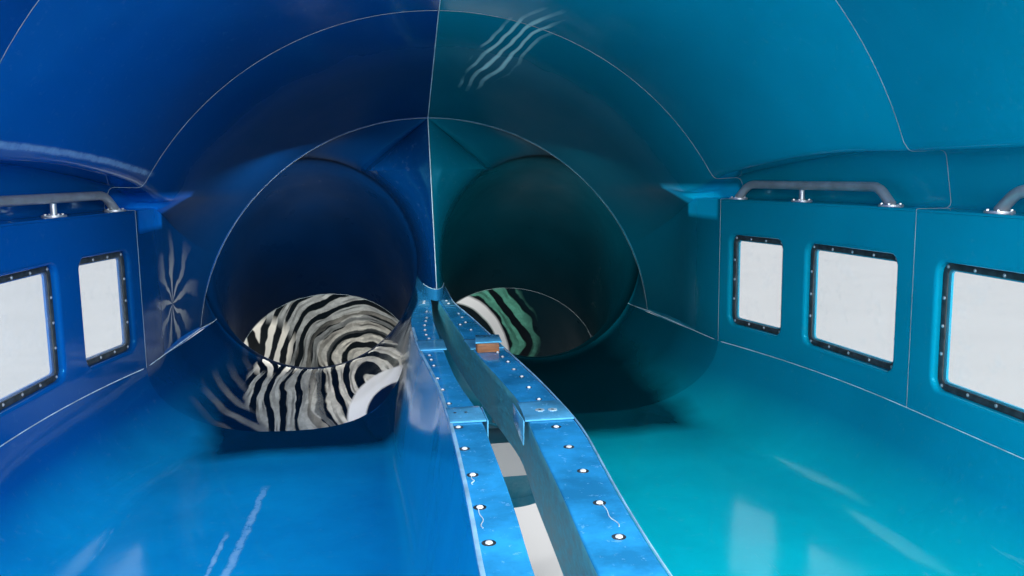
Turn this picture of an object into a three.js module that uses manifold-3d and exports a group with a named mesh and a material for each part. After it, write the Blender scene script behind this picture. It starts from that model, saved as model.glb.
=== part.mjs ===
// Start enclosure of a twin-lane water slide, on its steel stand.
// Two moulded tubs side by side run under one vault, then a funnel splits it into two tubes.
// Millimetres, +Z up. X crosses the lanes, Y runs from the rear entry to the tubes.
// While it is being shaped, Z is zero on the floor of the tubs and Y is zero at the rear entry.
import * as THREE from 'three';
import { mergeVertices } from 'three/addons/utils/BufferGeometryUtils.js';
import Module from 'manifold-3d';

const wasm = await Module();
wasm.setup();

// Driving dimensions: laminate, its flanges, and the gap between pieces that meet.
// Forms that make one body reach into each other by the overlap.
const laminate = 10;
const flangeReach = 80;
const flangeThickness = 10;
const touch = 0.3;
const overlap = 1;

// Driving dimensions: joints along the enclosure
const rearEnd = 0;
const tubJoint = 2020;
const bayJoint = 2309;
const funnelJoint = 3599;
const archJoint = 4590;
const mouthJoint = 4890;

// Driving dimensions: cross-section
const wallHalfWidth = 1550;
const funnelHalfWidth = 1371;
const archHalfWidth = 1324;
const seamHeight = 337;
const ledgeHeight = 1051;
const nicheDepth = 135;
const nicheLean = 35;
const hoodDrop = 27;
const dividerHeight = 505;
const gapLipDepth = 180;
const laneCentre = 720;

// Lane wall of a tub: how far out from the divider's edge, and how high, each of its points lies
const laneWall = [[0, dividerHeight], [42, 288], [85, 70], [97, 30], [118, 8], [150, 0], [270, 0]];

// Driving dimensions: where the sections change
const roundingStart = 3310;
const roundingEnd = 3850;
const roundShareAtFunnel = 0.75;
const nicheCloses = 3860;
const nicheClosed = 3960;
const webNoseFoot = 4190;
const rearTubPlaces = [950, 1300, 1800];
const bayPlaces = [2630, 2950];
const lastWallPlace = 3270;
const lastTubPlace = 3455;
const lastMouthPlace = 4740;
const lastChannelPlace = 4400;

// Driving dimensions: tubes
const boreRadius = 650;
const boreHeight = 650;
const bendRadius = 1050;
const plunge = THREE.MathUtils.degToRad(50);
const bendTail = 600;
const dropLength = 1200;

// Driving dimensions: windows
const windowBottom = 440;
const windowTop = 879;
const windowCorner = 45;
const windowWidth = 573;
const windowSpacing = 743;
const firstWindow = 125;
const sideWindows = [{ start: 2411, end: 2984 }, { start: 3150, end: 3528 }];
const rebateDepth = 35;
const rebateWidth = 30;
const trayWall = 8;
const traySetback = 9;
const paneThickness = 6;
const paneClearance = 0.5;
const cutPast = 30;

// Driving dimensions: grab bars
const barRadius = 19;
const barRise = 90;
const barOffset = 50;
const barFootRadius = 45;
const barFootThickness = 8;
const barLean = 75;
const barPostRadius = 13.3;
const barPostShift = 60;
const grabBars = [{ place: 'front', from: 2530, to: 3540 }, { place: 'rear', from: 960, to: 1970 }];

// Driving dimensions: stand
const standHeight = 2400;
const girderDepth = 240;
const girderWidth = 150;
const girderFlange = 16;
const girderWeb = 12;
const girderOffset = 760;
const capDepth = 200;
const capWidth = 160;
const capHalfLength = 1450;
const columnSize = 180;
const columnOffset = 1250;
const basePlateSize = 380;
const basePlateThickness = 20;
const kneeSize = 80;
const kneeReach = 420;
const kneeSink = 5;
const bentPlaces = { rear_bent: 300, middle_bent: 2309, front_bent: 4300 };

// A full circle gets twice as many sides as this, and a corner of a window twice its own number
const circleSegments = 10;
const cornerSegments = 2;
const barSegments = 4;
const barSteps = 24;
const postSides = 12;
const bendSteps = 8;

// Materials
const finishes = {
  blue: { color: 0x0b3fa8, roughness: 0.2, metalness: 0 },
  teal: { color: 0x067a8c, roughness: 0.2, metalness: 0 },
  clear: { color: 0xdfe8ea, roughness: 0.05, metalness: 0 },
  stainless: { color: 0xa9adb0, roughness: 0.35, metalness: 1 },
  galvanised: { color: 0x8d9396, roughness: 0.5, metalness: 0.9 },
};
const sideFinish = { left: 'blue', right: 'teal' };

// Values that change along the enclosure
function alongLine(stations, y) {
  const last = stations.length - 1;
  if (y <= stations[0][0]) return stations[0][1];
  if (y >= stations[last][0]) return stations[last][1];
  const index = stations.findIndex((station) => station[0] > y);
  const [y0, value0] = stations[index - 1];
  const [y1, value1] = stations[index];
  return THREE.MathUtils.mapLinear(y, y0, y1, value0, value1);
}

function easeOut(t) {
  return Math.sin((t * Math.PI) / 2);
}

const boreHalfWidthAtSeam = laneCentre + Math.sqrt(boreRadius ** 2 - (boreHeight - seamHeight) ** 2);

function halfWidth(y) {
  if (y <= bayJoint) return wallHalfWidth;
  if (y <= funnelJoint) {
    const t = (y - bayJoint) / (funnelJoint - bayJoint);
    return THREE.MathUtils.lerp(wallHalfWidth, funnelHalfWidth, t * t);
  }
  if (y <= archJoint) {
    return THREE.MathUtils.mapLinear(y, funnelJoint, archJoint, funnelHalfWidth, archHalfWidth);
  }
  const t = easeOut((y - archJoint) / (mouthJoint - archJoint));
  return THREE.MathUtils.lerp(archHalfWidth, boreHalfWidthAtSeam, t);
}

const vaultRadius = (y) => alongLine([[bayJoint, 1588], [funnelJoint, 1528], [archJoint, 1334]], y);
const vaultCentre = (y) => alongLine([[bayJoint, 729], [funnelJoint, 402], [archJoint, 176]], y);
const lipStations = [
  [bayJoint, 1280], [bayPlaces[0], 1290], [bayPlaces[1], 1275], [roundingStart, 1235],
  [funnelJoint, 1190], [nicheCloses, 1100],
];
const lipHeight = (y) => alongLine(lipStations, y);
const nicheTop = (y) => lipHeight(y) - hoodDrop;
const nicheShare = (y) => alongLine([[nicheCloses, 1], [nicheClosed, 0]], y);
const flatWallShare = (y) => alongLine([[nicheClosed, 1], [archJoint, 0]], y);
const dividerLines = {
  left: {
    inner: [
      [rearTubPlaces[0], 66], [rearTubPlaces[1], 48], [tubJoint, 37], [bayJoint, 62], [bayPlaces[0], 70],
      [funnelJoint, 62], [webNoseFoot, 32], [mouthJoint, 10],
    ],
    outer: [
      [rearTubPlaces[0], 159], [rearTubPlaces[1], 144], [rearTubPlaces[2], 132], [bayJoint, 134],
      [bayPlaces[1], 168], [funnelJoint, 172], [webNoseFoot, 120], [mouthJoint, 86],
    ],
  },
  right: {
    inner: [
      [rearTubPlaces[0], 41], [rearTubPlaces[1], 62], [rearTubPlaces[2], 80], [tubJoint, 102],
      [bayJoint, 84], [bayPlaces[1], 40], [funnelJoint, 20], [webNoseFoot, 5],
    ],
    outer: [
      [rearTubPlaces[0], 162], [rearTubPlaces[1], 181], [rearTubPlaces[2], 222], [bayJoint, 207],
      [bayPlaces[1], 164], [funnelJoint, 125], [webNoseFoot, 75], [mouthJoint, 86],
    ],
  },
};
const roundStations = [[roundingStart, 0], [funnelJoint, roundShareAtFunnel], [roundingEnd, 1]];
const roundShare = (y) => alongLine(roundStations, y);
const boreShare = (y) => alongLine([[roundingEnd, 0], [mouthJoint, 1]], y);

// Closed meshes and solids
function solid(geometry) {
  const bare = geometry.clone();
  bare.deleteAttribute('normal');
  bare.deleteAttribute('uv');
  const merged = mergeVertices(bare);
  return new wasm.Manifold(new wasm.Mesh({
    numProp: 3,
    vertProperties: new Float32Array(merged.attributes.position.array),
    triVerts: new Uint32Array(merged.index.array),
  }));
}

// Corners that a cut leaves closer together than the grid become one corner
const grid = 0.02;

function geometryOf(body) {
  const mesh = body.getMesh();
  const snapped = Float32Array.from(mesh.vertProperties, (value) => Math.round(value / grid) * grid);
  const loose = new THREE.BufferGeometry();
  loose.setAttribute('position', new THREE.BufferAttribute(snapped, 3));
  loose.setIndex(new THREE.BufferAttribute(new Uint32Array(mesh.triVerts), 1));
  const merged = mergeVertices(loose, grid / 2);
  const corners = merged.index.array;
  const faces = [];
  for (let face = 0; face < corners.length; face += 3) {
    const [a, b, c] = corners.slice(face, face + 3);
    if (a !== b && b !== c && c !== a) faces.push(a, b, c);
  }
  const geometry = new THREE.BufferGeometry();
  geometry.setAttribute('position', merged.attributes.position);
  geometry.setIndex(faces);
  geometry.computeVertexNormals();
  return geometry;
}

function joined(bodies) {
  return bodies.reduce((sum, body) => sum.add(body));
}

function block(x0, x1, y0, y1, z0, z1) {
  const geometry = new THREE.BoxGeometry(x1 - x0, y1 - y0, z1 - z0);
  geometry.translate((x0 + x1) / 2, (y0 + y1) / 2, (z0 + z1) / 2);
  return solid(geometry);
}

// A body whose outline changes from station to station along Y or Z.
// It starts as a plain extrusion, and each vertex then moves to its own station's outline.
function loft(stations, axis = 'y') {
  const ordered = axis === 'y' ? [...stations].reverse() : stations;
  const outline = ordered[0].outline;
  const geometry = new THREE.ExtrudeGeometry(new THREE.Shape(outline), {
    depth: ordered.length - 1,
    steps: ordered.length - 1,
    bevelEnabled: false,
  });
  const key = (x, y) => `${Math.fround(x)} ${Math.fround(y)}`;
  const places = new Map(outline.map((point, index) => [key(point.x, point.y), index]));
  const position = geometry.attributes.position;
  for (let vertex = 0; vertex < position.count; vertex += 1) {
    const station = ordered[Math.round(position.getZ(vertex))];
    const point = station.outline[places.get(key(position.getX(vertex), position.getY(vertex)))];
    if (axis === 'y') position.setXYZ(vertex, point.x, station.at, point.y);
    else position.setXYZ(vertex, point.x, point.y, station.at);
  }
  return solid(geometry);
}

// Lines of a cross-section. The laminate lies on the right of the direction of travel.
// At a sharp corner the offset grows no more than this share allows.
const leastSpread = 0.4;

function offsetLine(points, distance) {
  return points.map((point, index) => {
    const before = points[Math.max(index - 1, 0)];
    const after = points[Math.min(index + 1, points.length - 1)];
    const arrive = index > 0 ? point.clone().sub(before).normalize() : after.clone().sub(point).normalize();
    const leave = index < points.length - 1 ? after.clone().sub(point).normalize() : arrive;
    const normal = new THREE.Vector2(arrive.y + leave.y, -arrive.x - leave.x).normalize();
    const spread = Math.max(normal.x * arrive.y - normal.y * arrive.x, leastSpread);
    return point.clone().addScaledVector(normal, distance / spread);
  });
}

function arc(centreX, centreZ, radiusX, radiusZ, from, to, segments) {
  return Array.from({ length: segments + 1 }, (_, index) => {
    const angle = THREE.MathUtils.degToRad(THREE.MathUtils.lerp(from, to, index / segments));
    return new THREE.Vector2(centreX + radiusX * Math.cos(angle), centreZ + radiusZ * Math.sin(angle));
  });
}

function blendLines(first, second, share) {
  return first.map((point, index) => point.clone().lerp(second[index], share));
}

const sign = { left: -1, right: 1 };

// Nothing drawn for one side reaches past the crown seam in the middle
function onSide(side, points) {
  return points.map((point) => new THREE.Vector2(Math.max(point.x, touch / 2) * sign[side], point.y));
}

function bandOutline(inner, outer) {
  return [...inner, ...[...outer].reverse()];
}

// A laminate skin between two places, as thick as given
function skin(side, line, places, thickness = laminate) {
  return loft(places.map((y) => {
    const inner = line(y);
    return { at: y, outline: onSide(side, bandOutline(inner, offsetLine(inner, thickness))) };
  }));
}

// An upright joint flange round a stretch of the section, with its own outer edge
function jointFlange(side, line, outerEdge, y0, y1) {
  return loft([y0, y1].map((y) => ({
    at: y,
    outline: onSide(side, bandOutline(line(y), outerEdge(y))),
  })));
}

function endFlanges(side, line, outerEdge, y0, y1) {
  return [
    jointFlange(side, line, outerEdge, y0, y0 + flangeThickness),
    jointFlange(side, line, outerEdge, y1 - flangeThickness, y1),
  ];
}

// Tubs and channels: divider flange, lane wall, floor and cove up to the long seam
const lowerSegments = 7;

function flatTub(side, y) {
  const outer = alongLine(dividerLines[side].outer, y);
  const width = halfWidth(y);
  const cove = arc(width - seamHeight, seamHeight, seamHeight, seamHeight, 270, 360, lowerSegments - 1);
  const inside = laneWall.map(([out, height]) => new THREE.Vector2(outer + out, height));
  return [...inside, new THREE.Vector2(laneCentre, 0), ...cove];
}

function roundTub(side, y) {
  const outer = alongLine(dividerLines[side].outer, y);
  const reach = laneCentre - outer;
  const inside = arc(laneCentre, dividerHeight, reach, dividerHeight, 180, 270, lowerSegments);
  const outside = arc(laneCentre, seamHeight, halfWidth(y) - laneCentre, seamHeight, 270, 360, lowerSegments);
  return [...inside, ...outside.slice(1)];
}

const boreAngle = (height) => THREE.MathUtils.radToDeg(Math.asin((height - boreHeight) / boreRadius));

function boreTub() {
  const dividerAngle = 180 - boreAngle(dividerHeight);
  const inside = arc(laneCentre, boreHeight, boreRadius, boreRadius, dividerAngle, 270, lowerSegments);
  const seamAngle = 360 + boreAngle(seamHeight);
  const outside = arc(laneCentre, boreHeight, boreRadius, boreRadius, 270, seamAngle, lowerSegments);
  return [...inside, ...outside.slice(1)];
}

function tubLine(side, y) {
  const inner = alongLine(dividerLines[side].inner, y);
  const roundness = blendLines(flatTub(side, y), roundTub(side, y), roundShare(y));
  const surface = blendLines(roundness, boreTub(), boreShare(y));
  return [
    new THREE.Vector2(inner, dividerHeight - gapLipDepth),
    new THREE.Vector2(inner, dividerHeight),
    ...surface,
  ];
}

// The joint flange of a tub starts beside the divider wall and runs under the floor to the seam
const tubFlangeStart = 5;
const tubFlangeLine = (side) => (y) => tubLine(side, y).slice(tubFlangeStart);
const tubFlangeEdge = (side) => (y) => offsetLine(tubFlangeLine(side)(y), laminate + flangeReach);

function seamFlange(side, places, z0, z1) {
  return loft(places.map((y) => ({
    at: y,
    outline: onSide(side, [
      new THREE.Vector2(halfWidth(y) + overlap, z0),
      new THREE.Vector2(halfWidth(y) + laminate + flangeReach, z0),
      new THREE.Vector2(halfWidth(y) + laminate + flangeReach, z1),
      new THREE.Vector2(halfWidth(y) + overlap, z1),
    ]),
  })));
}

function tub(side, places) {
  const y0 = places[0];
  const y1 = places[places.length - 1];
  return joined([
    skin(side, (y) => tubLine(side, y), places),
    ...endFlanges(side, tubFlangeLine(side), tubFlangeEdge(side), y0, y1),
    seamFlange(side, places, seamHeight - flangeThickness, seamHeight),
  ]);
}

// Window walls between the long seam and the ledge
const wallTop = ledgeHeight - laminate - touch;
const wallBottom = seamHeight + touch;

function wallLine(y) {
  return [new THREE.Vector2(halfWidth(y), wallBottom), new THREE.Vector2(halfWidth(y), wallTop)];
}

function roundedOpening(width, bottom, top, corner) {
  const shape = new THREE.Shape();
  const half = width / 2;
  shape.moveTo(-half + corner, bottom);
  shape.lineTo(half - corner, bottom);
  shape.absarc(half - corner, bottom + corner, corner, -Math.PI / 2, 0);
  shape.lineTo(half, top - corner);
  shape.absarc(half - corner, top - corner, corner, 0, Math.PI / 2);
  shape.lineTo(-half + corner, top);
  shape.absarc(-half + corner, top - corner, corner, Math.PI / 2, Math.PI);
  shape.lineTo(-half, bottom + corner);
  shape.absarc(-half + corner, bottom + corner, corner, Math.PI, 1.5 * Math.PI);
  return shape;
}

// A rounded block that stands in the wall: depth is counted outwards from the inner face
function windowBlock(side, span, grow, depth0, depth1) {
  const start = new THREE.Vector2(halfWidth(span.start), span.start);
  const end = new THREE.Vector2(halfWidth(span.end), span.end);
  const chord = end.clone().sub(start);
  const middle = start.clone().lerp(end, 0.5);
  const width = chord.length() + 2 * grow;
  const shape = roundedOpening(width, windowBottom - grow, windowTop + grow, windowCorner + grow);
  const geometry = new THREE.ExtrudeGeometry(shape, {
    depth: depth1 - depth0,
    curveSegments: cornerSegments,
    bevelEnabled: false,
  });
  geometry.translate(0, 0, depth0);
  geometry.rotateX(Math.PI / 2);
  geometry.rotateZ(Math.PI / 2);
  if (side === 'left') geometry.rotateZ(Math.PI);
  geometry.rotateZ(sign[side] * Math.atan2(-chord.x, chord.y));
  geometry.translate(middle.x * sign[side], middle.y, 0);
  return solid(geometry);
}

function cutWindow(side, wall, span) {
  const trayBack = traySetback + rebateDepth;
  return wall
    .add(windowBlock(side, span, trayWall, traySetback, trayBack))
    .subtract(windowBlock(side, span, 0, -cutPast, trayBack - trayWall))
    .subtract(windowBlock(side, span, -rebateWidth, -cutPast, trayBack + cutPast));
}

function pane(side, span) {
  const back = traySetback + rebateDepth - trayWall - touch;
  return windowBlock(side, span, -paneClearance, back - paneThickness, back);
}

function wallFlangeEdge(y) {
  return wallLine(y).map((point) => new THREE.Vector2(point.x + laminate + flangeReach, point.y));
}

function wall(side, places, windows) {
  const y0 = places[0];
  const y1 = places[places.length - 1];
  const panel = joined([
    skin(side, wallLine, places),
    ...endFlanges(side, wallLine, wallFlangeEdge, y0, y1),
    seamFlange(side, places, wallBottom, wallBottom + flangeThickness),
    seamFlange(side, places, wallTop - flangeThickness, wallTop),
  ]);
  return windows.reduce((body, span) => cutWindow(side, body, span), panel);
}

// Vault: ledge, niche, hood lip and arch up to the crown seam.
// The fold of the lip lies this far out from the foot of the arch, and this far below it.
const archSegments = 9;
const hoodFold = [[35, 32], [12, 24]];

function vaultLine(y) {
  const width = halfWidth(y);
  const radius = vaultRadius(y);
  const centre = vaultCentre(y);
  const lip = lipHeight(y);
  const lipAngle = THREE.MathUtils.radToDeg(Math.asin((lip - centre) / radius));
  const arch = arc(0, centre, radius, radius, lipAngle, 90, archSegments);
  const hood = hoodFold.map(([out, down]) => new THREE.Vector2(arch[0].x + out, lip - down));
  return [
    new THREE.Vector2(width, ledgeHeight),
    new THREE.Vector2(width + nicheDepth, ledgeHeight),
    new THREE.Vector2(width + nicheDepth - nicheLean, nicheTop(y)),
    ...hood,
    ...arch,
  ];
}

// Above this height the flange follows the arch, and below it the niche
const hoodFlangeTop = 1385;

function vaultFlangeEdge(y) {
  const width = halfWidth(y);
  const reach = laminate + flangeReach;
  const radius = vaultRadius(y) + reach;
  const start = THREE.MathUtils.radToDeg(Math.asin((hoodFlangeTop - vaultCentre(y)) / radius));
  const arch = arc(0, vaultCentre(y), radius, radius, start, 90, archSegments);
  return [
    new THREE.Vector2(width + overlap, ledgeHeight - laminate),
    new THREE.Vector2(width + nicheDepth + reach, ledgeHeight - laminate),
    new THREE.Vector2(width + nicheDepth + reach, nicheTop(y)),
    ...arch,
  ];
}

function crownFlange(side, places) {
  const inner = touch / 2;
  return loft(places.map((y) => {
    const crown = vaultCentre(y) + vaultRadius(y);
    return {
      at: y,
      outline: onSide(side, [
        new THREE.Vector2(inner, crown + overlap),
        new THREE.Vector2(inner + flangeThickness, crown + overlap),
        new THREE.Vector2(inner + flangeThickness, crown + laminate + flangeReach),
        new THREE.Vector2(inner, crown + laminate + flangeReach),
      ]),
    };
  }));
}

// What crosses the middle is cut back to the half that the piece belongs to
const far = 4000;
const otherHalf = {
  left: block(-touch / 2, far, -far, 3 * far, -far, far),
  right: block(-far, touch / 2, -far, 3 * far, -far, far),
};
const belowSeam = block(-far, far, -far, 3 * far, -far, wallBottom);

function vault(side, places) {
  const y0 = places[0];
  const y1 = places[places.length - 1];
  return joined([
    skin(side, vaultLine, places),
    ...endFlanges(side, vaultLine, vaultFlangeEdge, y0, y1),
    crownFlange(side, places),
  ]);
}

// Funnel: wall, closing niche and arch, from the last bay to the arch seam
const funnelWallPoints = 3;

function funnelWall(x) {
  return Array.from({ length: funnelWallPoints }, (_, index) => (
    new THREE.Vector2(x, THREE.MathUtils.lerp(wallBottom, ledgeHeight - overlap, index / funnelWallPoints))
  ));
}

// Without its niche the line runs straight from the top of the wall to the foot of the arch
function closedNiche(niche) {
  const top = niche[0];
  const foot = niche[niche.length - 1 - archSegments];
  const count = niche.length - 1 - archSegments;
  return niche.map((point, index) => (index < count ? top.clone().lerp(foot, index / count) : point));
}

function funnelLine(y) {
  const niche = vaultLine(y);
  const full = [...funnelWall(halfWidth(y)), ...blendLines(closedNiche(niche), niche, nicheShare(y))];
  const radius = vaultRadius(y);
  const centre = vaultCentre(y);
  const seamAngle = THREE.MathUtils.radToDeg(Math.asin((wallBottom - centre) / radius));
  const lowerCount = full.length - archSegments - 1;
  const lipAngle = THREE.MathUtils.radToDeg(Math.asin((lipHeight(y) - centre) / radius));
  const lower = arc(0, centre, radius, radius, seamAngle, lipAngle, lowerCount).slice(0, lowerCount);
  const upper = arc(0, centre, radius, radius, lipAngle, 90, archSegments);
  return blendLines([...lower, ...upper], full, flatWallShare(y));
}

function funnelFlangeEdge(y) {
  const outer = halfWidth(y) + laminate + flangeReach;
  const edge = vaultFlangeEdge(y);
  edge[0] = new THREE.Vector2(outer, ledgeHeight - laminate);
  return [...funnelWall(outer), ...edge];
}

function plainFlangeEdge(line) {
  return (y) => offsetLine(line(y), laminate + flangeReach);
}

function funnel(side, places) {
  const y0 = places[0];
  const y1 = places[places.length - 1];
  return joined([
    skin(side, funnelLine, places),
    jointFlange(side, funnelLine, funnelFlangeEdge, y0, y0 + flangeThickness),
    jointFlange(side, funnelLine, plainFlangeEdge(funnelLine), y1 - flangeThickness, y1),
    seamFlange(side, places, wallBottom, wallBottom + flangeThickness),
    crownFlange(side, places),
  ]).subtract(belowSeam);
}

function channel(side, places) {
  const y0 = places[0];
  const y1 = places[places.length - 1];
  return joined([
    skin(side, (y) => tubLine(side, y), places),
    ...endFlanges(side, tubFlangeLine(side), tubFlangeEdge(side), y0, y1),
    seamFlange(side, places, seamHeight - flangeThickness, seamHeight),
  ]);
}

// Mouth: the arch splits into two round bores, with a hollow web between them
const mouthSegments = 12;
const mouthShares = [0, 0.3, 0.65, 1];
const crownEdgeAngle = 120;
const crownEdge = new THREE.Vector2(
  laneCentre + boreRadius * Math.cos(THREE.MathUtils.degToRad(crownEdgeAngle)),
  boreHeight + boreRadius * Math.sin(THREE.MathUtils.degToRad(crownEdgeAngle)),
);
const archCrown = vaultCentre(archJoint) + vaultRadius(archJoint);

function mouthLine(y) {
  const radius = vaultRadius(archJoint);
  const centre = vaultCentre(archJoint);
  const seamAngle = THREE.MathUtils.radToDeg(Math.asin((wallBottom - centre) / radius));
  const arch = arc(0, centre, radius, radius, seamAngle, 90, mouthSegments);
  const start = boreAngle(wallBottom);
  const bore = arc(laneCentre, boreHeight, boreRadius, boreRadius, start, crownEdgeAngle, mouthSegments);
  return blendLines(arch, bore, easeOut((y - archJoint) / (mouthJoint - archJoint)));
}

const webFoot = dividerHeight + 0.5;
const webHeights = [webFoot, 650, 800, 950, 1100, Math.round(crownEdge.y), 1300, 1400, 1500];
const hollowHeights = [webFoot + laminate + 2.5, ...webHeights.slice(1, -1)];
const webWall = laminate + 2;
const webSegments = 6;

// Each point of a level is moved out by this much more than the one before, so that none meet at the crown
const pointSpread = 0.01;

// One level of the web seen from above: a rounded nose that widens to the edge of the bore
function webLevel(z, inset) {
  const nose = webNoseFoot + (archJoint - webNoseFoot) * ((z - dividerHeight) / (archCrown - dividerHeight));
  let endX = laneCentre - Math.sqrt(Math.max(boreRadius ** 2 - (z - boreHeight) ** 2, 0));
  let endY = mouthJoint;
  if (z > crownEdge.y) {
    const share = (archCrown - z) / (archCrown - crownEdge.y);
    endX = crownEdge.x * share;
    endY = archJoint + (mouthJoint - archJoint) * Math.asin(share) / (Math.PI / 2);
  }
  const face = Array.from({ length: webSegments + 1 }, (_, index) => {
    const t = index / webSegments;
    const bulge = Math.sqrt(1 - (1 - t) ** 2);
    const x = Math.max((endX - inset) * bulge, touch / 2);
    return new THREE.Vector2(x, THREE.MathUtils.lerp(nose + 2 * inset, endY + inset, t));
  });
  return [...face, new THREE.Vector2(touch / 2, endY + inset)];
}

function web(side, heights, inset) {
  return loft(heights.map((z) => ({
    at: z,
    outline: onSide(side, webLevel(z, inset).map((point, index) => (
      new THREE.Vector2(point.x + pointSpread * index, point.y)
    ))),
  })), 'z');
}

function mouth(side) {
  const places = mouthShares.map((share) => (
    THREE.MathUtils.lerp(archJoint + touch / 2, mouthJoint - touch / 2, share)
  ));
  const y0 = places[0];
  const y1 = places[places.length - 1];
  return joined([
    skin(side, mouthLine, places),
    jointFlange(side, mouthLine, plainFlangeEdge(mouthLine), y0, y0 + flangeThickness),
    jointFlange(side, mouthLine, plainFlangeEdge(mouthLine), y1 - flangeThickness, y1),
    web(side, webHeights, 0),
  ]).subtract(web(side, hollowHeights, webWall)).subtract(belowSeam);
}

// Tubes: a bend that turns down, then a straight drop, each with a round flange at both ends
class PlungePath extends THREE.Curve {
  constructor(x, from, to) {
    super();
    this.x = x;
    this.from = from;
    this.to = to;
  }

  getPoint(t, target = new THREE.Vector3()) {
    return target.copy(plungePoint(this.x, THREE.MathUtils.lerp(this.from, this.to, t)));
  }
}

const bendLength = bendRadius * plunge;
const ringPlace = bendLength + bendTail;
const endPlace = ringPlace + dropLength;

// A point on a tube's centre line, at a distance along it from the mouth
function plungePoint(x, distance) {
  const angle = Math.min(distance, bendLength) / bendRadius;
  const tail = Math.max(distance - bendLength, 0);
  return new THREE.Vector3(
    x,
    mouthJoint + bendRadius * Math.sin(angle) + tail * Math.cos(plunge),
    boreHeight - bendRadius * (1 - Math.cos(angle)) - tail * Math.sin(plunge),
  );
}

function annulus(outer, inner) {
  const shape = new THREE.Shape();
  shape.absarc(0, 0, outer, 0, 2 * Math.PI);
  const hole = new THREE.Path();
  hole.absarc(0, 0, inner, 0, 2 * Math.PI, true);
  shape.holes.push(hole);
  return shape;
}

function sweep(shape, path, steps, curveSegments = circleSegments) {
  const options = { extrudePath: path, steps, curveSegments, bevelEnabled: false };
  return solid(new THREE.ExtrudeGeometry(shape, options));
}

function tubeLength(side, from, to, steps) {
  const x = sign[side] * laneCentre;
  const wallRing = annulus(boreRadius + laminate, boreRadius);
  const flangeRing = annulus(boreRadius + laminate + flangeReach, boreRadius);
  return joined([
    sweep(wallRing, new PlungePath(x, from, to), steps),
    sweep(flangeRing, new PlungePath(x, from, from + flangeThickness), 1),
    sweep(flangeRing, new PlungePath(x, to - flangeThickness, to), 1),
  ]).subtract(otherHalf[side]);
}

// Grab bars above the ledge. A leg's path starts as far below its foot as the bar's radius, to be cut level there.
class BarPath extends THREE.Curve {
  constructor(start, end, foot) {
    super();
    this.start = start;
    this.end = end;
    this.foot = foot;
  }

  getPoint(t, target = new THREE.Vector3()) {
    const rise = barRise - barRadius - (this.foot - ledgeHeight);
    const run = this.start.distanceTo(this.end);
    const leg = Math.hypot(barLean, rise);
    const total = 2 * leg + run - 2 * barLean;
    const distance = THREE.MathUtils.lerp(-barRadius, total + barRadius, t);
    const mirrored = distance > total / 2;
    const fromFoot = mirrored ? total - distance : distance;
    const climb = Math.min(fromFoot / leg, 1);
    const share = (barLean * climb + Math.max(fromFoot - leg, 0)) / run;
    const place = this.start.clone().lerp(this.end, mirrored ? 1 - share : share);
    return target.set(place.x, place.y, this.foot + rise * climb);
  }
}

function post(x, y, z0, z1, radius) {
  const geometry = new THREE.CylinderGeometry(radius, radius, z1 - z0, postSides);
  geometry.rotateX(Math.PI / 2);
  geometry.translate(x, y, (z0 + z1) / 2);
  return solid(geometry);
}

function grabBar(side, bar) {
  const place = (y) => new THREE.Vector2(sign[side] * (halfWidth(y) + barOffset), y);
  const plateTop = ledgeHeight + touch + barFootThickness;
  const round = new THREE.Shape();
  round.absarc(0, 0, barRadius, 0, 2 * Math.PI);
  const foot = plateTop - overlap;
  const bent = sweep(round, new BarPath(place(bar.from), place(bar.to), foot), barSteps, barSegments);
  const pipe = bent.subtract(block(-far, far, -far, 3 * far, -far, foot));
  const middle = place((bar.from + bar.to) / 2 + barPostShift);
  const feet = [place(bar.from), middle, place(bar.to)];
  return joined([
    pipe,
    post(middle.x, middle.y, foot, ledgeHeight + barRise - barRadius, barPostRadius),
    ...feet.map((spot) => post(spot.x, spot.y, ledgeHeight + touch, plateTop, barFootRadius)),
  ]);
}

// Stand: two girders on portal frames, and a lower portal under the ring flanges of the tubes
const girderClearance = 0.8;
const girderTop = -(laminate + flangeReach) - girderClearance;
const capTop = girderTop - girderDepth - touch;
const ground = -standHeight;
const ringPoint = plungePoint(0, ringPlace);
const ringOuter = boreRadius + laminate + flangeReach;
const ringUnderside = ringPoint.z - ringOuter * Math.cos(plunge) - flangeThickness * Math.sin(plunge);
const tubeCapTop = ringUnderside - 2 * touch;
const tubeCapPlace = ringPoint.y - ringOuter * Math.sin(plunge);

function girder(side) {
  const half = girderWidth / 2;
  const halfWeb = girderWeb / 2;
  const middle = sign[side] * girderOffset;
  const bottom = girderTop - girderDepth;
  const flangeTop = bottom + girderFlange;
  const flangeBottom = girderTop - girderFlange;
  const outline = [
    [-half, bottom], [half, bottom], [half, flangeTop], [halfWeb, flangeTop],
    [halfWeb, flangeBottom], [half, flangeBottom], [half, girderTop], [-half, girderTop],
    [-half, flangeBottom], [-halfWeb, flangeBottom], [-halfWeb, flangeTop], [-half, flangeTop],
  ].map(([x, z]) => new THREE.Vector2(x + middle, z));
  return loft([{ at: rearEnd, outline }, { at: mouthJoint, outline }]);
}

function kneeBrace(side, y, top) {
  const column = sign[side] * (columnOffset - columnSize / 2 + kneeSink);
  const outline = [
    [0, top - kneeReach], [0, top - kneeReach - kneeSize * Math.SQRT2],
    [kneeReach + kneeSize * Math.SQRT2, top], [kneeReach, top],
  ].map(([x, z]) => new THREE.Vector2(column - sign[side] * x, z));
  return loft([{ at: y - kneeSize / 2, outline }, { at: y + kneeSize / 2, outline }]);
}

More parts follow.
